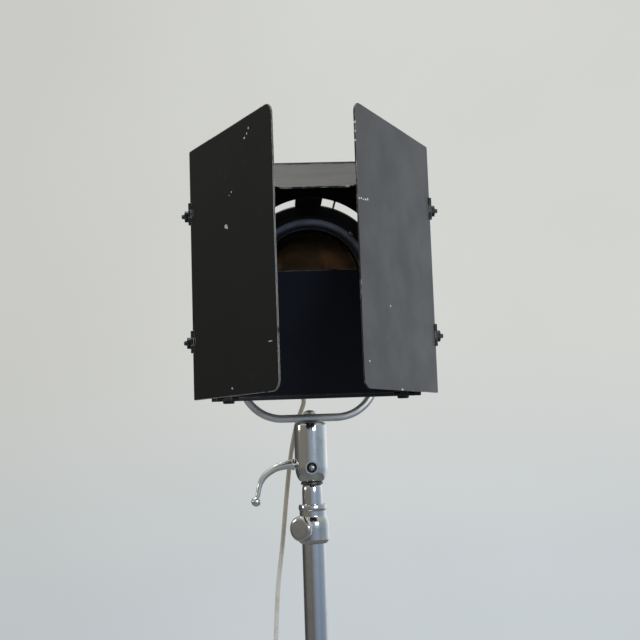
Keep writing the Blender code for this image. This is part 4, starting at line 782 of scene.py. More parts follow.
def make_switch():
    length, width, height = SWITCH_SIZE
    place = moved(SWITCH.x, SWITCH.y, 0) @ Matrix.Rotation(SWITCH_HEADING, 4, "Z")
    long, wide = length / 2 + 0.002, width / 2 + 0.002
    corners = mm((-29, -8), (-17, -12), (17, -12), (29, -8))
    corners += [(x, -y) for x, y in reversed(corners)]
    outline = rounded(corners, [0.003, 0.010, 0.010, 0.003] * 2)
    body = softened(slab("switch_shell", outline, 0.0001, height, place), 0.0026, 5, 60)
    seam = slab("seam", panel(-long, -wide, long, wide, 0), 0.0080, 0.0084, place)
    inner = slab("inner", [(x * 0.985, y * 0.965) for x, y in outline], 0.0070, 0.0094, place)
    cut(body, cut(seam, inner))
    pivot_z = height - 0.0020
    pocket = block("pocket", (-0.0106, -0.0056, pivot_z - 0.0062), (0.0106, 0.0056, height + 0.004), place)
    cut(body, softened(pocket, 0.0012, 3))
    placed(rounded_edges(body, 0.00025, 2, 40), "stand", IVORY, "ivory_plastic", "switch_body")
    tilt = place @ moved(0, 0, pivot_z) @ about("Y", 7)
    x, y, z = 0.0094, 0.0050, 0.0040
    dish = [(x * (1 - k / 6), z - 0.0002 - 0.0009 * sin(pi * k / 12)) for k in range(1, 12)]
    top = [(-x, -z), (x, -z), (x, z - 0.0002), *dish, (-x, z - 0.0002)]
    rocker = slab("switch_rocker_cap", top, -y, y, tilt @ FORWARD)
    for step in range(-3, 4):
        ends = (step * 0.0011, -y - 0.001, z - 0.0002), (step * 0.0011, y + 0.001, z - 0.0002)
        cut(rocker, rod("rib", *ends, 0.0003, tilt, 8))
    placed(rounded_edges(rocker, 0.0004, 3), "rocker", BAKELITE, "black_plastic", "switch_rocker")


FLOOR_LEAD, FLOOR_LINE = make_lead()
PLUG_PARTS = make_plug()
make_tie()
make_switch()


# Stand

COLLAR_RADIUS = 0.0158
OUTER_TUBE_RADIUS = 0.0115
LEG_HEIGHT = 0.078
HUB_RADIUS = 0.030
LEG_RADIUS = 0.0075
LEG_REACH = 0.293
LEGS = {"rear": 90, "left": 210, "right": 330}  # degrees from the lamp's right


def make_base():
    bore = OUTER_TUBE_RADIUS + GAP
    profile = mm(
        (0, 49.7), (11.8, 49.7), (11.8, 135), (15.4, 135), (16.4, 133.8), (17.8, 129), (18.1, 125),
        (17.4, 124.6), (17.4, 122.8), (18.4, 122.4), (19, 106), (20.2, 101.5), (22.2, 96), (27, 93),
        (29.4, 89.5), (30, 86), (30, 68), (29, 64), (25, 58), (19.4, 49), (16.8, 44), (13.8, 40),
        (0, 40),
    )
    hub = turned("base_hub_casting", profile, steps=96)

    def outwards(name, start, stop, radius, angle, *more):
        return rod(name, (start, 0, LEG_HEIGHT), (stop, 0, LEG_HEIGHT), radius, about("Z", angle), *more)

    for angle in LEGS.values():
        boss = HUB_RADIUS - 0.010, HUB_RADIUS + 0.0035
        union(hub, outwards("boss", *boss, 0.0120, angle, 48, 0.0108, 0.0010))
        cut(hub, outwards("socket", bore + 0.004, HUB_RADIUS + 0.01, 0.0078, angle, 48))
    for angle in (30, 150, 270):
        cut(hub, outwards("set_screw_well", HUB_RADIUS - 0.0012, HUB_RADIUS + 0.006, 0.0036, angle, 32))
        side = about("Z", angle) @ moved(HUB_RADIUS - 0.0012, 0, LEG_HEIGHT) @ RIGHTWARD
        placed(screw_head("hub_screw_%d" % angle, 0.0030, 0.0014, side), "stand", DARK_STEEL, "steel")
    placed(rounded_edges(hub, 0.0005, 2, 40), "stand", CAST, "base_casting", "base_hub")
    first, corner, drop = HUB_RADIUS + 0.012, 0.028, 0.020
    bend = LEG_REACH - corner
    line = [(bore + 0.0043, LEG_HEIGHT)]
    for share in (step / 24 for step in range(25)):
        line.append((first + (bend - first) * share, LEG_HEIGHT - drop * share * share * (3 - 2 * share)))
    line += arc((bend, LEG_HEIGHT - drop - corner), corner, pi / 2, 0, 17)[1:]
    line += [(LEG_REACH, 0.0200), (LEG_REACH, 0.0063)]
    for name, angle in LEGS.items():
        turn = about("Z", angle)
        leg = swept("leg_tube_" + name, [(r, 0, z) for r, z in line], LEG_RADIUS, turn, 40)
        placed(leg, "stand", CHROME, "bright_metal", "leg_" + name)
        profile = mm((0, 6), (7.8, 6), (7.8, 30), (9.6, 30), (10.2, 29.3))
        for k in range(5):
            z, rib, groove = 26.8 - k * 4.2, 11.0 + k * 0.2, 10.3 + k * 0.3
            profile += mm((rib, z), (rib, z - 2.2), (groove, z - 2.6), (groove, z - 3.6))
        profile += mm((12.5, 5), (12.5, 1.8), (11.8, 0.6), (10.8, 0), (5, 0), (4.4, 0.6), (0, 0.6))
        foot = turned("foot_ribbed_" + name, profile, moved(*turn @ Vector((LEG_REACH, 0, 0))), 64)
        placed(foot, "stand", RUBBER, "black_rubber", "foot_" + name)


def make_tubes():
    profile = mm((10.3, 1211.1), (11.2, 1211.1), (11.5, 1210.7), (11.5, 50.6), (11, 50), (10.3, 50))
    tube = turned("outer_tube_drawn", profile, steps=96, ring=True)
    placed(tube, "stand", CHROME_TUBE, "bright_metal", "outer_tube")
    profile = mm(
        (10.3, 1215.9), (12.8, 1215.9), (13.5, 1215.4), (13.8, 1214.1), (14, 1212.3), (13.9, 1211.3),
        (13.5, 1210.7), (13.1, 1209.9), (13.1, 1204.7), (13.6, 1203.3), (15, 1200.9), (15.4, 1199.1),
        (15.68, 1196.7), (15.8, 1193.9), (15.8, 1182.1), (15.2, 1180.8), (13.2, 1178.7), (12.5, 1178.3),
        (11.8, 1178.3), (11.8, 1211.4), (10.3, 1211.4),
    )
    collar = turned("tube_collar_turned", profile, steps=96, ring=True)
    axis = moved(0, 0, HEAD_HEIGHT - 0.2262) @ about("Z", -38)
    cut(collar, rod("stud_hole", (0, -0.010, 0), (0, -0.020, 0), 0.0033, axis, 32))
    placed(rounded_edges(collar, 0.00025, 2, 30), "stand", CAST, "bright_metal", "tube_collar")

    inner = COLLAR_RADIUS + GAP
    outer, radius = inner + 0.008, 0.0122

    def knurl(r, h, a):
        grip = radius - 0.0008 < r and inner + 0.002 < h < outer - 0.0036
        return r - (0.00022 + 0.00022 * cos(60 * a)) if grip else r

    profile = mm((0, 24.1), (8, 24))
    profile += arc((radius - 0.0036, outer - 0.0035), 0.0036, pi / 2, 0, 9, 0.0033)[1:]
    profile += mm(
        (12.2, 20.3), (12.2, 18.4), (11.6, 17.3), (10, 16.7), (6.2, 16.1), (3, 16.1), (3, 10.3),
        (0, 10.3),
    )
    knob = turned("collar_knob_knurled", profile, axis @ FORWARD, 360, shape=knurl)
    placed(knob, "collar_knob", CAST, "bright_metal", "collar_knob")


def make_inner_tube():
    profile = mm(
        (8.5, 1234.7), (8.8, 1234.7), (9.3, 1234), (9.6, 1232.3), (9.85, 1230.1), (10, 1227.2),
        (10, 367.7), (9.6, 365.1), (9.4, 364.7), (8.5, 364.7),
    )
    tube = turned("inner_tube_drawn", profile, steps=96, ring=True)
    placed(tube, "upper_tube", CHROME_TUBE, "bright_metal", "inner_tube")
    profile = mm(
        (0, 1274), (6.6, 1274), (8, 1272.7), (8, 1264.5), (7.4, 1263.7), (7.4, 1247.5), (8, 1246.7),
        (8, 1237.5), (10.4, 1237.5), (10.8, 1237.1), (10.8, 1235.4), (10.4, 1235), (8.2, 1235),
        (8.2, 1215.7), (7, 1214.7), (0, 1214.7),
    )
    spigot = turned("swivel_spigot_turned", profile, steps=64)
    # Painted shade: the spigot's dark steel makes its flange read as the shaded gap under the adapter
    placed(spigot, "upper_tube", DARK_STEEL, "steel", "swivel_spigot")


# Adapter, clamp lever and yoke

ADAPTER_RADIUS = 0.0162
ADAPTER_TOP, ADAPTER_BOTTOM = -0.1242, -0.1822
LEVER_DROP = -0.165
YOKE_INSIDE, YOKE_THICK, YOKE_DROP = 0.0630, 0.0075, 0.1164


def make_adapter():
    top, bottom, r = ADAPTER_TOP, ADAPTER_BOTTOM, ADAPTER_RADIUS
    profile = mm((4.3, -124.2), (10.6, -124.2), (12.6, -124.4), (14.4, -125), (15.3, -125.8))
    # A slightly swelling shoulder, and an elliptical lower end
    for rise in (0.0076 * (1 - step / 8) for step in range(9)):
        profile.append((r - rise**2 / 0.13, top - 0.0100 + rise))
    profile += arc((r - 0.0066, bottom + 0.0160), 0.0066, 0, pi / 2, 13, -0.0160)
    profile += mm((8.3, -182.2), (8.3, -145.1), (4.3, -145.1))
    adapter = turned("swivel_adapter_casting", profile, HEAD, 96, ring=True)
    place = HEAD @ moved(0, 0, SCREW_DROP) @ FORWARD
    cut(adapter, turned("recess", mm((0, 20), (7.2, 20), (6.3, 15.6), (6.3, 10), (0, 10)), place, 64))
    cut(adapter, rod("screw_hole", (0, -0.006, SCREW_DROP), (0, -0.011, SCREW_DROP), 0.0021, HEAD, 24))
    cut(adapter, rod("lever_hole", (-0.006, 0, LEVER_DROP), (-r - 0.004, 0, LEVER_DROP), 0.0033, HEAD, 32))
    placed(rounded_edges(adapter, 0.0004, 3, 30), "yoke", RECESSED, "bright_metal", "swivel_adapter")
    front = r - 0.0018
    profile = mm(
        (0, 14.4), (1.6, 14.2), (2.624, 13.7), (3.2, 12.8), (3.2, 10.3), (1.8, 10.3), (1.8, 8.3),
        (0, 8.3),
    )
    screw = turned("adapter_screw_head", profile, place, 48)
    cut(screw, block("slot", (-0.0005, -0.006, front - 0.0013), (0.0005, 0.006, front + 0.002), place))
    placed(rounded_edges(screw, 0.0001, 2, 35), "yoke", STEEL, "steel", "adapter_screw")


def make_clamp_lever():
    place = HEAD @ moved(0, 0, LEVER_DROP)
    boss = -(ADAPTER_RADIUS + GAP)
    # How far out and how high, and the radius there
    route = mm(
        (0, 0, 4.6), (-3.5, 0, 4.7), (-10.5, -0.7, 4.2), (-16.5, -2.3, 3.8), (-21.5, -4.5, 3.5),
        (-29, -9.8, 3.2), (-33.8, -17.2, 2.8), (-36.5, -28, 2.4), (-38, -31.8, 2.3),
    )
    line = smooth_line([(boss + x, z, r) for x, z, r in route], 8)
    lever = swept("clamp_lever_forged", [(p.x, 0, p.y) for p in line], [p.z for p in line], place, 40)
    profile = mm((0, 2.8), (5.2, 2.8), (5.6, 2.2), (5.6, 0.4), (5.2, 0), (0, 0))
    flange = turned("flange", profile, place @ moved(boss, 0, 0) @ about("Y", -90), 48)
    stud = rod("stud", (-0.0086, 0, 0), (boss - 0.002, 0, 0), 0.0030, place, 32)
    union(lever, stud, flange, ball("ball", (boss - 0.0386, 0, -0.0348), 0.0048, place, 40))
    placed(lever, "clamp_lever", LEVER, "bright_metal", "clamp_lever")


def make_yoke():
    inside, thick, drop, corner = YOKE_INSIDE, YOKE_THICK, YOKE_DROP, 0.0365
    outside = inside + thick
    centre = (inside - corner, -drop + corner)
    right = [(outside, 0), *arc(centre, corner + thick, 0, -pi / 2, 33)]
    back = [*arc(centre, corner, -pi / 2, 0, 33), (inside, 0)]
    outline = right + [(-x, z) for x, z in (*reversed(right), *reversed(back))] + back
    yoke = slab("yoke_bar", outline[::-1], -0.011, 0.011, HEAD @ FORWARD)
    softened(yoke, 0.0030, 5, 50)
    for side in (-1, 1):
        ends = (side * inside, 0, 0), (side * outside, 0, 0)
        union(yoke, rod("eye", *ends, 0.0135, HEAD, 64, chamfer=0.0010))
        ends = (side * (inside - 0.004), 0, 0), (side * (outside + 0.004), 0, 0)
        cut(yoke, rod("pivot_hole", *ends, 0.0043, HEAD, 40))
    cut(yoke, rod("bolt_hole", (0, 0, -drop + 0.004), (0, 0, -drop - thick - 0.004), 0.0043, HEAD, 40))
    placed(rounded_edges(yoke, 0.0003, 2, 40), "yoke", BRUSHED, "bright_metal", "yoke")
    seat = -drop + GAP
    profile = arc((0, seat + 0.0006), 0.0065, pi / 2, 0, 10, 0.0032)[:-1]
    profile += mm((6.5, -115.5), (6.5, -116.1), (4, -116.1))
    z = seat - 0.012
    while z > -0.1445:
        profile += [(0.0040, z), (0.0036, z - 0.0005)]
        z -= 0.0010
    profile += mm((3.6, -144.5), (0, -144.5))
    placed(turned("yoke_bolt_domed", profile, HEAD, 64), "yoke", BRUSHED, "bright_metal", "yoke_bolt")


def make_tilt_knobs():
    def lobes(r, h, a):
        return r * (0.94 + 0.06 * cos(7 * a)) if r > 0.0135 and h > 0.0046 else r

    for side, name in SIDES:
        profile = mm(
            (0, 15.8), (7, 15.8), (8.2, 16.6), (11, 17), (14.7, 16.6), (16, 15.6), (16.5, 14),
            (16.5, 6.8), (15.9, 5.4), (14.3, 4.7), (10, 4.5), (8.8, 4.2), (8.5, 3.6), (8.5, 0), (4, 0),
            (4, -14.3), (0, -14.3),
        )
        place = HEAD @ moved(side * (YOKE_INSIDE + YOKE_THICK + GAP), 0, 0) @ about("Y", 90 * side)
        knob = turned("tilt_knob_lobed_" + name, profile, place, 168, shape=lobes)
        placed(knob, "tilt_knob_" + name, BAKELITE, "black_plastic", "tilt_knob_" + name)
        profile = mm((0, 16.3), (4, 16.3), (4.6, 16), (4.6, 15.6), (0, 15.6))
        placed(turned("tilt_knob_insert_" + name, profile, place, 48), "tilt_knob_" + name, STEEL, "steel")


# Housing and optics

HOUSING_RADIUS = 0.0605
HOUSING_FRONT, HOUSING_REAR = -0.1232, 0.076
HINGE_Y, HINGE_Z = HOUSING_REAR + 0.0040, HOUSING_RADIUS + 0.0040
LATCH = HOUSING_RADIUS + 0.0050
FOCUS_Y, FOCUS_TRAVEL = -0.036, (-0.035, 0.030)
RING_RADIUS = HOUSING_RADIUS + 0.0053


def make_housing():
    inside, r = HOUSING_RADIUS - SHEET, HOUSING_RADIUS
    profile = mm((59.3, 76), (60.3, 76), (60.5, 75.7))
    for y in (0.0605, -0.1000):  # rolled beads, pressed inwards
        profile += arc((r, y), 0.0007, pi / 2, 3 * pi / 2, 9, 0.0020)
    profile += mm((60.5, -122.9), (60.3, -123.2), (59.3, -123.2))
    housing = turned("housing_shell", profile, HEAD @ BACKWARD, 128, ring=True)
    for side in (-1, 1):
        ends = (side * (inside - 0.003), 0, 0), (side * (r + 0.0022), 0, 0)
        union(housing, rod("boss", *ends, 0.011, HEAD, 64, chamfer=0.0004))
    for side in (-1, 1):
        low = (side * 0.012 - 0.002, HOUSING_REAR - 0.0105, r - 0.0016)
        high = (side * 0.012 + 0.002, HOUSING_REAR + 0.0075, HINGE_Z + 0.0040)
        union(housing, softened(block("ear", low, high, HEAD), 0.0014, 3))
    low, high = (-0.005, HOUSING_REAR - 0.0065, -r - 0.0095), (0.005, HOUSING_REAR, -inside - 0.0004)
    union(housing, softened(block("latch_lug", low, high, HEAD), 0.0010, 3))
    for side in (-1, 1):
        ends = (side * (inside - 0.008), 0, 0), (side * (r + 0.004), 0, 0)
        cut(housing, rod("pivot_hole", *ends, 0.0043, HEAD, 40))
    cut(housing, rod("pin_hole", (-0.020, HINGE_Y, HINGE_Z), (0.020, HINGE_Y, HINGE_Z), 0.0017, HEAD, 24))
    ends = (0, HOUSING_REAR - 0.004, -LATCH), (0, HOUSING_REAR + 0.004, -LATCH)
    cut(housing, rod("latch_hole", *ends, 0.0019, HEAD, 24))
    for row in range(6):
        y = -0.067 + row * 0.019
        outline = panel(-0.022, y, 0.022, y + 0.007, 0.0034, 7)
        cut(housing, slab("top_vent", outline, inside - 0.012, r + 0.004, HEAD))
    low, high = -r - 0.004, -inside + 0.004
    for side in (-1, 1):
        for row in range(3):
            y = -0.095 + row * 0.052
            outline = panel(-0.0025, y, 0.0025, y + 0.040, 0.0024, 7)
            cut(housing, slab("bottom_vent", outline, low, high, HEAD @ about("Y", 50 * side)))
    half = 0.0035
    rear, front = (FOCUS_Y + travel for travel in FOCUS_TRAVEL)
    outline = panel(-half, rear - half, half, front + half, 0.0034, 7)
    cut(housing, slab("focus_slot", outline, low, high, HEAD))
    cut(housing, rod("gland_hole", (GLAND.x, GLAND.y, low), (GLAND.x, GLAND.y, high), 0.0061, HEAD, 40))
    placed(rounded_edges(housing, 0.0002, 2, 40), "head", ENAMEL, "black_paint", "housing")
    for side, name in SIDES:
        for y in (-0.108, 0.066):
            turn = HEAD @ about("Y", 68 * side) @ moved(0, y, r - 0.0001)
            rivet = turned("housing_rivet_%s_%d" % (name, y > 0), dome(0.0024, 0.0012), turn, 32)
            placed(rivet, "head", ENAMEL, "black_paint")


def dome(radius, height):
    return arc((0, 0), radius, pi / 2, 0, 8, height) + [(radius * 0.9, -0.0004), (0, -0.0004)]


def make_vent_cowl():
    inner = HOUSING_RADIUS + 0.006
    outer, foot = inner + SHEET, HOUSING_RADIUS + GAP
    left, right = pi / 2 + RAD(38), pi / 2 - RAD(38)
    wall = SHEET / foot
    outline = arc((0, 0), outer, right, left, 49) + arc((0, 0), foot, left, left - wall, 2)
    outline += arc((0, 0), inner, left - wall, right + wall, 49) + arc((0, 0), foot, right + wall, right, 2)
    place = HEAD @ moved(0, -0.020, 0) @ FORWARD
    cowl = slab("vent_cowl_sheet", outline, -0.065, 0.065, place)
    for side in (-1, 1):
        for row in range(5):
            y = -0.052 + row * 0.022
            slot = panel(-0.0016, y, 0.0016, y + 0.016, 0.0015, 5)
            turn = HEAD @ about("Y", 26 * side) @ moved(0, -0.020, 0)
            cut(cowl, slab("louvre", slot, inner - 0.002, outer + 0.002, turn))
    placed(rounded_edges(cowl, 0.0004, 3, 40), "head", ENAMEL, "black_paint", "vent_cowl")
    for side, name in SIDES:
        for y in (-0.070, 0.030):
            turn = HEAD @ about("Y", 36 * side) @ moved(0, y, outer - 0.0006)
            screw = screw_head("cowl_screw_%s_%d" % (name, y > 0), 0.0024, 0.0014, turn)
            placed(screw, "head", DARK_STEEL, "steel")


RING_FRONT = HOUSING_FRONT - GAP - 0.0055


def make_optics():
    front, seat = RING_FRONT, RING_FRONT + 0.0155
    cavity, lip = HOUSING_RADIUS - SHEET - GAP - 0.0045, 0.0440
    profile = mm(
        (65.5, -123.5), (65.8, -123.9), (65.8, -127.6), (65.3, -128.5), (64.4, -129), (54.5, -129),
        (54, -128.7), (53.6, -128), (53.3, -124), (44.5, -121.8), (44, -121.4), (44, -113.5),
        (54.5, -113.5), (54.5, -100), (59, -100), (59, -123.5),
    )
    ring = turned("front_ring_spun", profile, HEAD @ BACKWARD, 128, ring=True)
    placed(ring, "head", ENAMEL_RING, "black_paint", "front_ring")
    profile = mm((53.5, -126.6), (53.5, -127.6), (53.1, -128))
    r, y = profile[-1]
    for tilt in (RAD(5 + 3 * step) for step in range(10)):
        r, y = r - 0.0009 * cos(tilt), y + 0.0009 * sin(tilt)
        profile.append((r, y))
    profile += mm((44.3613, -124.5764), (44.3613, -123.7764), (45.6613, -123.3764), (51.5, -124))
    placed(turned("lens_bezel", profile, HEAD @ BACKWARD, 128, ring=True), "head", BEZEL, "black_paint")
    for at, angle in enumerate((46, 166, 286)):
        turn = HEAD @ about("Y", 90 - angle) @ moved(0, front + 0.0012, 0.0530) @ FORWARD
        screw = screw_head("ring_screw_%d" % at, 0.0022, 0.0014, turn)
        placed(screw, "head", STEEL, "steel")
    lens_front = seat + GAP
    lens_back, bulge = lens_front + 0.004, 0.010
    reach = lip - GAP
    sphere = (reach**2 + bulge**2) / (2 * bulge)
    rim = cavity - GAP
    profile = mm((0, -109.2), (53.9, -109.2), (54.2, -109.5), (54.2, -112.9), (53.9, -113.2))
    for step in range(20, 0, -1):
        r = reach * step / 20
        profile.append((r, lens_front - (sqrt(sphere**2 - r * r) - (sphere - bulge))))
    profile.append((0, lens_front - bulge))
    placed(turned("lens_ground", profile, HEAD @ BACKWARD, 128), "head", LENS_GLASS, "lens_glass", "lens")
    y, r = lens_back + GAP + 0.0011, rim - 0.0011
    line = [(x, y, z) for x, z in arc((0, 0), r, RAD(-80), RAD(260), 97)]
    placed(swept("lens_retainer_spring", line, 0.0011, HEAD, 16), "head", STEEL, "steel", "lens_retainer")


def make_rear_cover():
    rim = HOUSING_REAR + GAP
    edge = HOUSING_RADIUS - 0.0005
    dish = [
        (0, 1.0), (0.14, 0.995), (0.28, 0.975), (0.42, 0.93), (0.55, 0.865), (0.66, 0.77), (0.75, 0.66),
        (0.83, 0.54), (0.89, 0.41), (0.93, 0.30), (0.968, 0.20), (1.0, 0.10),
    ]
    outer = [(edge * s, rim + 0.012 * h) for s, h in dish]
    inner = [(r - SHEET * r / edge, h - SHEET) for r, h in reversed(outer[:-1])]
    profile = outer + mm((60, 76.3), (58.8, 76.3)) + inner
    cover = turned("rear_cover_dished", profile, HEAD @ BACKWARD, 128)
    axis = HEAD @ moved(0, HINGE_Y, HINGE_Z)
    barrel = rod("barrel", (-0.0097, 0, 0), (0.0097, 0, 0), 0.0030, axis, 40)
    pin = rod("pin", (-0.0140, 0, 0), (0.0140, 0, 0), 0.0014, axis, 24, chamfer=0.0003)
    union(cover, barrel, pin, block("arm", (-0.0087, -0.0010, -0.0100), (0.0087, 0.0012, 0.0005), axis))
    tab = panel(-0.006, -LATCH - 0.0045, 0.006, -HOUSING_RADIUS + 0.0045, [0.0035, 0.0035, 0, 0], 7)
    union(cover, slab("tab", tab, -rim - 0.0018, -rim, HEAD @ FORWARD))
    for row in range(4):
        z = 0.020 - row * 0.0135
        slot = panel(-0.022, z - 0.002, 0.022, z + 0.002, 0.0019, 7)
        cut(cover, slab("slot", slot, -HOUSING_REAR - 0.030, -rim + 0.002, HEAD @ FORWARD))
    cut(cover, rod("latch_hole", (0, rim - 0.004, -LATCH), (0, rim + 0.006, -LATCH), 0.0019, HEAD, 24))
    placed(rounded_edges(cover, 0.0002, 2, 40), "rear_cover", ENAMEL, "black_paint", "rear_cover")

    def knurl(r, h, a):
        return r - 0.00018 * (1 + cos(36 * a)) if r > 0.0046 and 0.001 < h < 0.0050 else r

    profile = mm(
        (0, 6), (3.6, 6), (4, 6.2), (4.6, 5.6), (4.8, 4.9), (4.8, 1.1), (4.4, 0.4), (3.8, 0), (1.6, 0),
        (1.6, -4.8), (1.2, -5.2), (0, -5.2),
    )
    place = HEAD @ moved(0, rim + 0.0018 + GAP, -LATCH) @ BACKWARD
    latch = turned("rear_latch_knurled", profile, place, 216, shape=knurl)
    placed(latch, "rear_latch", STEEL, "steel", "rear_latch")


def make_gland():
    shoulder = -HOUSING_RADIUS - 0.0006
    place = HEAD @ moved(GLAND.x, GLAND.y, 0)

    def hexagonal(r, h, a):
        if r > 0.0083 and (h > -HOUSING_RADIUS + 0.0045 or -0.0675 < h < shoulder - 0.0004):
            return min(r, 0.0080 / cos((a % RAD(60)) - RAD(30)))
        return r

    profile = mm(
        (0, -50.5), (7.8, -50.5), (8.4, -51.1), (8.4, -55.7), (7.8, -56.3), (5.8, -56.3), (5.8, -61.1),
        (8.4, -61.1), (9, -61.6), (9, -66.1), (8.4, -66.7), (7.7, -67.1), (7.7, -71.6), (7.2, -72.7),
        (6, -74.1), (0, -74.1),
    )
    gland = turned("cable_gland_moulded", profile, place, 72, shape=hexagonal)
    placed(gland, "head", BAKELITE, "black_plastic", "cable_gland")
    top = shoulder - 0.013 - GAP
    profile = mm((0, -74.4), (5, -74.4), (5.4, -74.8), (5.4, -77.2), (5, -77.8))
    for k in range(7):
        z = top - 0.0050 - k * 0.0027
        r = 0.0048 - k * 0.00017
        profile += [(r, z), (r, z - 0.0016), (r - 0.0008, z - 0.0018), (r - 0.0008, z - 0.0025)]
    profile += mm((3.6, -98.2), (3.4, -98.9), (0, -98.9))
    relief = turned("strain_relief_ribbed", profile, place, 48)
    placed(relief, "head", RUBBER, "black_rubber", "strain_relief")


def make_lamp_carriage():
    inside = HOUSING_RADIUS - SHEET
    top, half = -0.0395, 0.032
    block_half = 0.012
    block_bottom = -sqrt((inside - GAP) ** 2 - block_half**2)
    plate = panel(-half, -0.052, half, 0.028, 0.004)
    tray = slab("lamp_tray_pressed", plate, top - 0.002, top, HEAD)
    for x in (-0.022, 0.022):
        for y in (-0.040, 0.012):
            cut(tray, rod("hole", (x, y, top - 0.006), (x, y, top + 0.004), 0.0035, HEAD, 32))
    union(tray, block("runner", (-block_half, -0.046, block_bottom), (block_half, 0.005, top - 0.001), HEAD))
    ends = (0, FOCUS_Y, block_bottom - 0.004), (0, FOCUS_Y, block_bottom + 0.009)
    cut(tray, rod("stud_hole", *ends, 0.0033, HEAD, 32))
    placed(rounded_edges(tray, 0.0005, 2, 40), "focus", STEEL, "steel", "lamp_tray")

    def knurl(r, h, a):
        return r - 0.0003 * (1 + cos(32 * a)) if r > 0.0088 else r

    profile = mm(
        (0, -49.2668), (2.6, -49.2668), (3, -49.7668), (3, -60.8), (7.6, -60.8), (8.4, -61.3),
        (9, -62.4), (9, -71.4), (8.6, -72.8), (7.6, -73.8), (4, -73.8), (3.4, -73.2), (0, -73.2),
    )
    knob = turned("focus_knob_fluted", profile, HEAD @ moved(0, FOCUS_Y, 0), 192, shape=knurl)
    placed(knob, "focus_knob", BAKELITE, "black_plastic", "focus_knob")

    y = -0.020
    low, high = (-0.016, y - 0.010, top + GAP), (0.016, y + 0.010, top + 0.0125)
    holder = softened(block("lamp_holder_ceramic", low, high, HEAD), 0.0012, 3)
    cut(holder, rod("socket", (0, y, top + 0.0045), (0, y, top + 0.020), 0.0078, HEAD, 48))
    for side, name in SIDES:
        x = side * 0.0118
        cut(holder, rod("well", (x, y, top + 0.0095), (x, y, top + 0.020), 0.0026, HEAD, 24))
        screw = screw_head("holder_screw_" + name, 0.0022, 0.0014, HEAD @ moved(x, y, top + 0.0095))
        placed(screw, "focus", STEEL, "steel")
    placed(rounded_edges(holder, 0.0003, 2, 40), "focus", CERAMIC, "ceramic", "lamp_holder")
    place = HEAD @ moved(0, y, 0)
    profile = [(0, 0.030)] + arc((0, 0.0175), 0.0125, pi / 2, 0, 13)[1:]
    profile += mm((12.5, -10.5), (12, -15), (10.2, -19.5), (7.6, -22.5), (7.1, -24))
    shell = profile + [
        (r - 0.0007 if r else 0, z - (0.0007 if z > 0.017 else 0)) for r, z in reversed(profile)
    ]
    shell[len(profile)] = (0.0064, -0.0240)
    bulb = turned("lamp_bulb_envelope", shell, place, 64)
    placed(bulb, "focus", LAMP_GLASS, "lamp_glass", "lamp_bulb")
    profile = mm((0, -22.5), (6, -22.5), (7.5, -24), (7.5, -33.1), (6.9, -33.7), (6.9, -34.7), (0, -34.7))
    placed(turned("lamp_bulb_cap", profile, place, 48), "focus", BRASS, "bright_metal")
    stem = mm((0, -8), (1.6, -9), (2.2, -12), (3, -22), (0, -22))
    placed(turned("lamp_bulb_stem", stem, place, 32), "focus", LAMP_GLASS, "lamp_glass")
    wires = []
    for side in (-1, 1):
        line = mm((1.2 * side, 0, -10), (3.5 * side, 0, -4), (5.5 * side, 0, 4), (5.6 * side, 0, 7.2))
        wires.append(swept("wire", smooth_line(line, 6), 0.00035, place, 10))
    coil = []
    for step in range(217):
        a = 2 * pi * step / 12
        coil.append((-0.0056 + 0.0112 * step / 216, 0.0009 * cos(a), 0.0072 + 0.0009 * sin(a)))
    wires.append(swept("coil", coil, 0.00016, place, 6))
    placed(joined("lamp_filament", *wires), "focus", FILAMENT, "steel")
    radius, edge = 0.042, 0.0340
    apex = y + radius
    outer, inner = [], []
    for step in range(25):
        r = edge * step / 24
        dip = radius - sqrt(radius**2 - r * r)
        outer.append((r, apex + 0.001 - dip))
        inner.append((r, apex - dip))
    reflector = turned("reflector_spun", outer + inner[::-1], HEAD @ BACKWARD, 96)
    stem = block("stem", (-0.007, apex - 0.0035, top + GAP), (0.007, apex - 0.0015, -edge + 0.016), HEAD)
    low, high = (-0.007, apex - 0.0120, top + GAP), (0.007, apex - 0.0020, top + GAP + 0.0015)
    union(reflector, stem, block("stem_foot", low, high, HEAD))
    placed(rounded_edges(reflector, 0.0002, 2, 50), "focus", MIRROR, "reflector_mirror", "reflector")


# Barn door

HINGE_PLANE = -0.175
PLATE_FRONT = HINGE_PLANE + 0.004
DOORS = {  # hinge axis, turn of its frame, fold, and the places of its two hinges along it
    "right": ((0.100, HINGE_PLANE, 0), 0, RAD(29.4), (0.049, -0.058)),
    "left": ((-0.100, HINGE_PLANE, 0), 180, RAD(28.1), (-0.049, 0.058)),
    "top": ((0, HINGE_PLANE, 0.0895), -90, RAD(23.2), (0.0725, -0.0725)),
    "bottom": ((0, HINGE_PLANE, -0.1058), 90, RAD(52.8), (0.0725, -0.0725)),
}
HINGE_NAMES = {
    "right": ("hinge_right_upper", "hinge_right_lower"),
    "left": ("hinge_left_upper", "hinge_left_lower"),
    "top": ("hinge_top_left", "hinge_top_right"),
    "bottom": ("hinge_bottom_right", "hinge_bottom_left"),
}
KNUCKLE = 0.0021
FLAT_KNUCKLE = 0.0018
PIN = 0.0009
SCREW_BEHIND = 0.0095  # a hinge's screw, behind its axis
# A leaf's outline has X out along the leaf and Y along its hinge
OUTLINE_WAYS = Matrix(((0, 0, -1, 0), (-1, 0, 0, 0), (0, 1, 0, 0), (0, 0, 0, 1)))


def door_frame(name):
    at, turn, _, _ = DOORS[name]
    return HEAD @ Matrix.Translation(at) @ about("Y", turn)


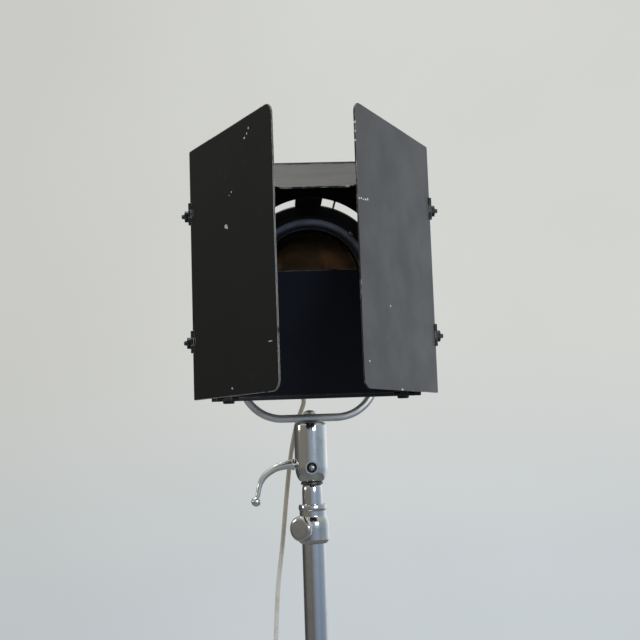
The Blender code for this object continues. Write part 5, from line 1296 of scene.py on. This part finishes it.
def make_hinge_shape(bolted):
    """Strap, knuckles, pin and screw of one hinge about its own axis, with its nut or flat head outside."""
    strap_in, half, clear = -0.0025 + GAP, 0.009, 0.0033
    barrel = KNUCKLE if bolted else FLAT_KNUCKLE
    strap_out = strap_in + SHEET
    outline = panel(-half, -0.0155, half, 0.0002, [0.003, 0.003, 0, 0])
    # The outline's X runs along the hinge and its Y forwards; the sheet's thickness is outwards
    lie = Matrix(((0, 0, 1, 0), (0, -1, 0, 0), (1, 0, 0, 0), (0, 0, 0, 1)))
    strap = slab("hinge", outline, strap_in, strap_out, lie)
    softened(strap, 0.0002, 2)
    low, high = (strap_in - 0.004, -0.004, -clear), (strap_out + 0.004, KNUCKLE + 0.0006, clear)
    cut(strap, block("notch", low, high))
    for side in (-1, 1):
        ends = (0, 0, side * (clear + 0.0001)), (0, 0, side * (half + 0.00015))
        union(strap, rod("knuckle", *ends, barrel, sides=32, chamfer=0.0001))
    union(strap, rod("pin", (0, 0, -half + 0.002), (0, 0, half - 0.002), PIN, sides=20))
    place = moved(0, SCREW_BEHIND, 0) @ RIGHTWARD
    low, r = strap_out - 0.0003, 0.0020
    if bolted:
        saddle = strap_out + 0.0014
        boss = saddle + 0.0014
        nut = boss + 0.0040
        outline = panel(-0.0078, -0.0153, 0.0078, -0.0037, 0.0030, 7)
        parts = [softened(slab("saddle", outline, low, saddle, lie), 0.0009, 3)]
        profile = mm((0, 1.8), (4.6, 1.8), (5.3, 1.4), (5.7, 0.5), (5.7, 0.1), (0, 0.1))
        parts += [turned("washer", profile, place, 48), hexagon("nut", boss - 0.0002, nut, 0.0041, place)]
        profile, x = mm((0, 8.4), (1.3, 8.4), (1.8, 7.9)), nut + 0.0019
        while x > nut - 0.0002:
            profile += [(r, x), (r - 0.00028, x - 0.00035)]
            x -= 0.0007
    else:
        top = strap_out + 0.0044
        profile = mm((0, 3.4), (4.2, 3.4), (4.6, 3.1), (4.8, 2.5), (5, 0.8), (5.4, -1.3), (0, -1.3))
        head = turned("flat_head", profile, place, 48)
        slot = block("slot", (-0.0070, -0.0006, top - 0.0014), (0.0070, 0.0006, top + 0.0010), place)
        parts = [cut(head, slot)]
        profile, x = mm((0, 0), (1.8, 0)), strap_out + 0.0006
    end = -0.0025 - SHEET - GAP
    profile += [(r, x), (r, end - 0.0004), (0.0034, end - 0.0004), (0.0036, end - 0.0008)]
    profile += [(0.0030, end - 0.0014), (0.0016, end - 0.0016), (0, end - 0.0016)]
    parts.append(turned("screw", profile, place, 32))
    return joined("hinge_shape", strap, *parts)


def make_hinges():
    for doors in (("left", "right"), ("top", "bottom")):
        shape = make_hinge_shape(doors[0] == "left")
        data = shape.data
        data.transform(shape.matrix_world)
        bpy.data.objects.remove(shape)
        data.materials.append(ENAMEL)
        for door in doors:
            for node, along in zip(HINGE_NAMES[door], DOORS[door][3]):
                hinge = linked(node + "_set", data, door_frame(door) @ moved(0, 0, along))
                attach(hinge, "head")
                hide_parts(node)


def leaf_outline(name):
    """A leaf's outline: first number out from the hinge, second along it."""
    along = DOORS[name][3]
    edge, depth, half = 0.0005, KNUCKLE + 0.0010, 0.00922
    if name in ("left", "right"):
        sign = 1 if name == "right" else -1
        low, high = sorted(sign * (-0.002 + h) for h in (-0.104, 0.104))
        far = [((0.1465, high), 0.009), ((0.1465, low), 0.009)]
        near = 0.0015
    else:
        tip = 0.0263 if name == "top" else 0.0320
        high, low = 0.090, -0.090
        far = [((0.1175, tip), 0.0015), ((0.1175, -tip), 0.0015)]
        near = 0.004
    corners = [((edge, low), near)]
    for middle in sorted(along):
        start, stop = middle - half, middle + half
        corners += [((x, y), 0) for x, y in ((edge, start), (depth, start), (depth, stop), (edge, stop))]
    corners.append(((edge, high), near))
    corners += far
    return rounded([c for c, _ in corners], [r for _, r in corners], 15)


def make_leaf(name, paint):
    fold = DOORS[name][2]
    swing = door_frame(name) @ Matrix.Rotation(-fold, 4, "Z")
    place = swing @ OUTLINE_WAYS
    barrel = KNUCKLE if name in ("left", "right") else FLAT_KNUCKLE
    leaf = slab("leaf_sheet_" + name, leaf_outline(name)[::-1], -SHEET / 2, SHEET / 2, place)
    for along in DOORS[name][3]:
        seat = swing @ moved(0, 0, along)
        thick = SHEET / 2 + 0.0001
        union(leaf, block("tab", (-thick, -0.0060, -0.0027), (thick, -0.0015, 0.0027), seat))
        union(leaf, rod("knuckle", (0, 0, -0.003), (0, 0, 0.003), barrel, seat, 32, chamfer=0.0001))
        cut(leaf, rod("bore", (0, 0, -0.005), (0, 0, 0.005), PIN + GAP, seat, 20))
    if name in ("top", "bottom"):
        for start, stop in ((-0.086, -0.08172), (-0.06328, 0.06328), (0.08172, 0.086)):
            union(leaf, rod("barrel", (0, 0, start), (0, 0, stop), barrel, swing, 32, chamfer=0.0001))
    rippled(leaf)
    placed(rounded_edges(leaf, 0.00028, 2, 40), "leaf_" + name, paint, "black_paint", "leaf_" + name)


def rippled(leaf):
    """Splits the sheet's faces and gives them slight waves. The hinge edge stays straight."""
    bm = bmesh.new()
    bm.from_mesh(leaf.data)
    for axis in range(2):
        values = [v.co[axis] for v in bm.verts]
        place, normal = Vector(), Vector()
        normal[axis] = 1
        step = 0.0065
        at = min(values) + step
        while at < max(values) - step / 2:
            place[axis] = at
            geometry = bm.verts[:] + bm.edges[:] + bm.faces[:]
            bmesh.ops.bisect_plane(bm, geom=geometry, plane_co=place, plane_no=normal, dist=1e-6)
            at += step
    for vert in bm.verts:
        x, y = vert.co.xy
        wave = noise.noise(Vector((x * 17, y * 15, 3.7))) * 0.00045
        ripple = noise.noise(Vector((x * 48, y * 42, 9.1))) * 0.00010
        vert.co.z += (wave + ripple) * min(1.0, max(0.0, (x - 0.010) / 0.05))
    bm.to_mesh(leaf.data)
    bm.free()
    smoothed(leaf.data, 25)


def make_door_plate():
    half, top, bottom = 0.0975, 0.0870, -0.1033
    front, depth = PLATE_FRONT, 0.014
    outline = [(-half, bottom), (half, bottom), (half, top), (-half, top)]
    place = HEAD @ FORWARD
    plate = slab("door_plate_pressed", outline, -front - depth, -front, place)
    inner = [(x - copysign(SHEET, x), z - copysign(SHEET, z)) for x, z in outline]
    cut(plate, slab("inside", inner, -front - depth - 0.004, -front - SHEET, place))
    softened(plate, 0.0005, 3, 50)
    cut(plate, rod("aperture", (0, front - 0.004, 0), (0, front + 0.007, 0), 0.0620, HEAD, 160))
    for x in (-half, half):
        for z in (bottom, top):
            cut(plate, rod("corner", (x, front - 0.004, z), (x, front + depth + 0.004, z), 0.006, HEAD, 40))
    for name in DOORS:
        for along in DOORS[name][3]:
            ends = (-0.0015, SCREW_BEHIND, along), (-0.0047, SCREW_BEHIND, along)
            cut(plate, rod("screw_hole", *ends, 0.0023, door_frame(name), 24))
    placed(rounded_edges(plate, 0.0002, 2, 40), "head", ENAMEL_INSIDE, "black_paint", "door_plate")
    for side, angle in ((0, 0), (1, -120), (2, 120)):
        turn = HEAD @ about("Y", angle) @ moved(0, front, 0.0720) @ FORWARD
        screw = turned("plate_rivet_%d" % side, dome(0.0026, 0.0011), turn, 32)
        placed(screw, "head", ENAMEL_INSIDE, "black_paint")


def make_brackets():
    inside = RING_RADIUS + GAP
    back = PLATE_FRONT + SHEET + GAP
    ring_back = HOUSING_FRONT - 0.001
    half = 0.0115
    for name, angle in (("top", 0), ("left", -120), ("right", 120)):
        turn = HEAD @ about("Y", angle)
        reach = asin(half / inside)
        left, right = pi / 2 + reach, pi / 2 - reach
        bar = arc((0, 0), inside + 0.0015, right, left, 13) + arc((0, 0), inside, left, right, 13)
        strap = slab("door_bracket_strap_" + name, bar, -ring_back, -back, turn @ FORWARD)
        foot = panel(-half, inside, half, inside + 0.012, [0, 0, 0.003, 0.003], 7)
        union(strap, slab("foot", foot, -back - 0.0015, -back, turn @ FORWARD))
        rounded_edges(strap, 0.0004, 3, 40)
        placed(strap, "head", ENAMEL_INSIDE, "black_paint", "door_bracket_" + name)
    x, r = 0.0224, 0.001
    z = sqrt((inside + r) ** 2 - x**2)
    front = back + r
    points = [
        (x, ring_back - 0.0005, z), (x, front + 0.010, z), (x, front + 0.004, z),
        (x, front + 0.0012, z + 0.0012), (x, front, z + 0.004), (x, front, z + 0.014),
        (x + 0.0012, front, z + 0.0168), (x + 0.004, front, z + 0.018), (x + 0.014, front, z + 0.018),
    ]
    wire = swept("retaining_wire_bent", smooth_line(points, 6), r, HEAD, 16)
    placed(wire, "head", STEEL, "steel", "retaining_wire")


# Chips in the paint of the leaves, in each leaf's own outline: out, along, half width, half height

LEFT_CHIPS = [
    (0.0676, -0.0255, 0.0023, 0.0016), (0.1353, 0.0702, 0.0030, 0.0004), (0.0721, 0.1002, 0.0012, 0.0008),
    (0.1101, -0.0921, 0.0009, 0.0010), (0.1031, -0.0863, 0.0012, 0.0008), (0.0787, -0.0503, 0.0009, 0.0007),
    (0.0745, -0.0485, 0.0006, 0.0005), (0.1072, -0.0885, 0.0007, 0.0009), (0.0700, -0.0240, 0.0012, 0.0009),
]
RIGHT_CHIPS = [
    (0.1440, 0.0300, 0.0009, 0.0007), (0.1405, 0.0308, 0.0012, 0.0006), (0.1370, 0.0305, 0.0008, 0.0005),
    (0.1330, 0.0312, 0.0014, 0.0007), (0.1292, 0.0322, 0.0010, 0.0009), (0.0941, -0.0429, 0.0008, 0.0007),
    (0.1369, -0.0865, 0.0010, 0.0007), (0.0774, -0.1052, 0.0018, 0.0007), (0.1461, 0.0857, 0.0005, 0.0012),
    (0.1461, 0.0790, 0.0004, 0.0009), (0.1462, 0.0723, 0.0004, 0.0008),
]
TOP_CHIPS = [(0.1173, -0.0232, 0.0008, 0.0016)]

CHROME_TUBE = bare_metal(
    "chrome_tube", (0.62, 0.63, 0.64), 0.13, (0.42, 0.39, 0.35), grain=0.06, wear=0.35, dulled=0.06,
)
BEZEL = bare_metal("lens_bezel", (0.27, 0.275, 0.29), 0.32, (0.13, 0.13, 0.135), grain=0.08)
ENAMEL_RING = black_paint(
    "black_enamel_ring", (0.008, 0.008, 0.009), (0.03, 0.03, 0.03), rough=(0.26, 0.38), level=0.5,
    wear=0.4,
)
# The leaves share one black enamel; the tints of their copies are painted light for how each is lit: warmer
# on the top, cooler on the right, and bluer and lighter on the bottom, with a bluish scuff
LEFT_PAINT = black_paint(
    "black_enamel_left", (0.0085, 0.0085, 0.0085), LEAF_SCUFF, level=0.2, wear=1.0, chips=LEFT_CHIPS,
    arris=0.0010, bitten=(0.30, 0.46),
)
RIGHT_PAINT = black_paint(
    "black_enamel_right", (0.0085, 0.0088, 0.0092), LEAF_SCUFF, level=0.8, wear=1.0, chips=RIGHT_CHIPS,
    arris=0.0007, bitten=(0.54, 0.62),
)
TOP_PAINT = black_paint(
    "black_enamel_top", (0.0090, 0.0088, 0.0080), LEAF_SCUFF, level=0.37, wear=1.0, chips=TOP_CHIPS,
    arris=0.0008, bitten=(0.44, 0.56),
)
# The bottom leaf's hinge strip is painted lighter: painted light from the floor
BOTTOM_PAINT = black_paint(
    "black_enamel_bottom", (0.0085, 0.0105, 0.0175), (0.03, 0.034, 0.05), rough=(0.5, 0.62), level=0.15,
    lit_hinge_strip=(0.040, 0.040, 0.042),
)

make_base()
make_tubes()
make_inner_tube()
make_adapter()
make_clamp_lever()
make_yoke()
make_tilt_knobs()
make_housing()
make_vent_cowl()
make_optics()
make_rear_cover()
make_gland()
make_lamp_carriage()
make_hinges()
for leaf, leaf_paint in (
    ("left", LEFT_PAINT), ("right", RIGHT_PAINT), ("top", TOP_PAINT), ("bottom", BOTTOM_PAINT),
):
    make_leaf(leaf, leaf_paint)
make_door_plate()
make_brackets()


# Room: a pale wall behind, dimmer to the left, a window's light from the right and above


def make_world():
    world = bpy.data.worlds.new("room")
    world.use_nodes = True
    SCENE.world = world
    w = Nodes(world.node_tree)
    w.tree.nodes.clear()
    way = w.node("TexCoord", {}, "Generated")
    x, y, z = (w.node("SeparateXYZ", {0: way}, axis) for axis in "XYZ")
    angle = w.math("ARCTAN2", x, w.times(y, -1.0))
    share = w.node("Math", {0: angle, 1: 1 / (2 * pi), 2: 0.5}, operation="MULTIPLY_ADD")
    around = w.node("ValToRGB", {0: share})
    stops = [
        (0.000, (0.50, 0.49, 0.46)), (0.035, (0.14, 0.14, 0.135)), (
            0.07, (0.085, 0.085, 0.082),
        ), (0.13, (0.078, 0.078, 0.074)),
        (
            0.210, (0.130, 0.130, 0.120),
        ), (0.25, (0.225, 0.215, 0.192)), (0.36, (0.245, 0.235, 0.205)), (0.42, (0.215, 0.21, 0.20)),
        (
            0.455, (0.28, 0.30, 0.32),
        ), (0.500, (0.35, 0.42, 0.51)), (0.57, (0.37, 0.46, 0.60)), (0.635, (0.33, 0.41, 0.50)),
        (0.75, (0.44, 0.52, 0.59)), (
            0.880, (1.20, 1.25, 1.31),
        ), (0.96, (0.76, 0.77, 0.77)), (1.00, (0.50, 0.49, 0.46)),
    ]
    colours = around.node.color_ramp.elements
    while len(colours) < len(stops):
        colours.new(0.5)
    for stop, (at, colour) in zip(colours, stops):
        stop.position = at
        stop.color = (*colour, 1)
    near_floor = w.mix(w.ramp(z, -0.02, -0.22), around, (0.72, 0.72, 0.77), "MULTIPLY")
    room = w.mix(w.ramp(z, 0.08, 0.80), near_floor, (0.62, 0.61, 0.58))
    light = w.node("Background", {"Color": room, "Strength": 1.0})

    # What the camera sees is the plain wall: a little darker to the left and cooler below
    wall = w.mix(w.ramp(x, -0.32, 0.12), (0.585, 0.590, 0.560), (0.655, 0.665, 0.640))
    cool = w.mix(w.ramp(z, 0.12, -0.20), wall, (0.870, 0.925, 1.000), "MULTIPLY")
    mottle = w.node("TexNoise", {"Vector": way, "Scale": 5.0, "Detail": 3.0}, "Fac")
    patch = w.node(
        "MapRange",
        {"Value": mottle, "From Min": 0.3, "From Max": 0.7, "To Min": 0.985, "To Max": 1.015},
    )
    seen = w.node("Background", {"Color": cool, "Strength": patch})
    straight = w.math(
        "MAXIMUM", *(w.node("LightPath", {}, ray) for ray in ("Is Camera Ray", "Is Transmission Ray")),
    )
    w.put(
        w.tree.nodes.new("ShaderNodeOutputWorld").inputs["Surface"],
        w.node("MixShader", {0: straight, 1: light, 2: seen}),
    )


def make_floor():
    bm = bmesh.new()
    bmesh.ops.create_circle(bm, cap_ends=True, segments=96, radius=3.0)
    floor = from_bmesh("floor", bm)
    p = Paint("pale_floor")
    seen = p.tree.nodes.new("ShaderNodeLightPath").outputs["Is Camera Ray"]
    pale = p.mix(p.ramp(p.noise(3, 4, 0.6), 0.3, 0.7), (0.60, 0.60, 0.585), (0.66, 0.66, 0.645))
    p.set("Base Color", p.mix(seen, (0.20, 0.21, 0.22), pale))
    p.set("Roughness", p.ramp(p.noise(40, 4, 0.6), 0.3, 0.7, 0.55, 0.75))
    p.bump(p.noise(300, 3, 0.6), 0.06, 0.0005)
    floor.data.materials.append(p.material)


def make_lamp(name, place, aim, size, power, colour):
    data = bpy.data.lights.new(name, "AREA")
    data.shape = "RECTANGLE"
    data.size, data.size_y = size
    data.energy = power
    data.color = colour
    lamp = bpy.data.objects.new(name, data)
    SCENE.collection.objects.link(lamp)
    lamp.location = place
    lamp.rotation_euler = (Vector(aim) - Vector(place)).to_track_quat("-Z", "Y").to_euler()


make_world()
make_floor()
make_lamp("window", (1.14, -2.56, 1.78), (0, 0, 1.78), (1.0, 0.50), 24, (0.93, 0.97, 1.0))
make_lamp("left_window", (-2.30, -0.08, 1.58), (0, -0.08, 1.58), (0.42, 0.18), 3.6, (1.0, 0.99, 0.97))
make_lamp("ceiling", (-0.3, 0.3, 3.6), (0, 0, 1.0), (1.6, 1.6), 30, (1.0, 1.0, 1.0))

SCENE.view_settings.view_transform = "Standard"
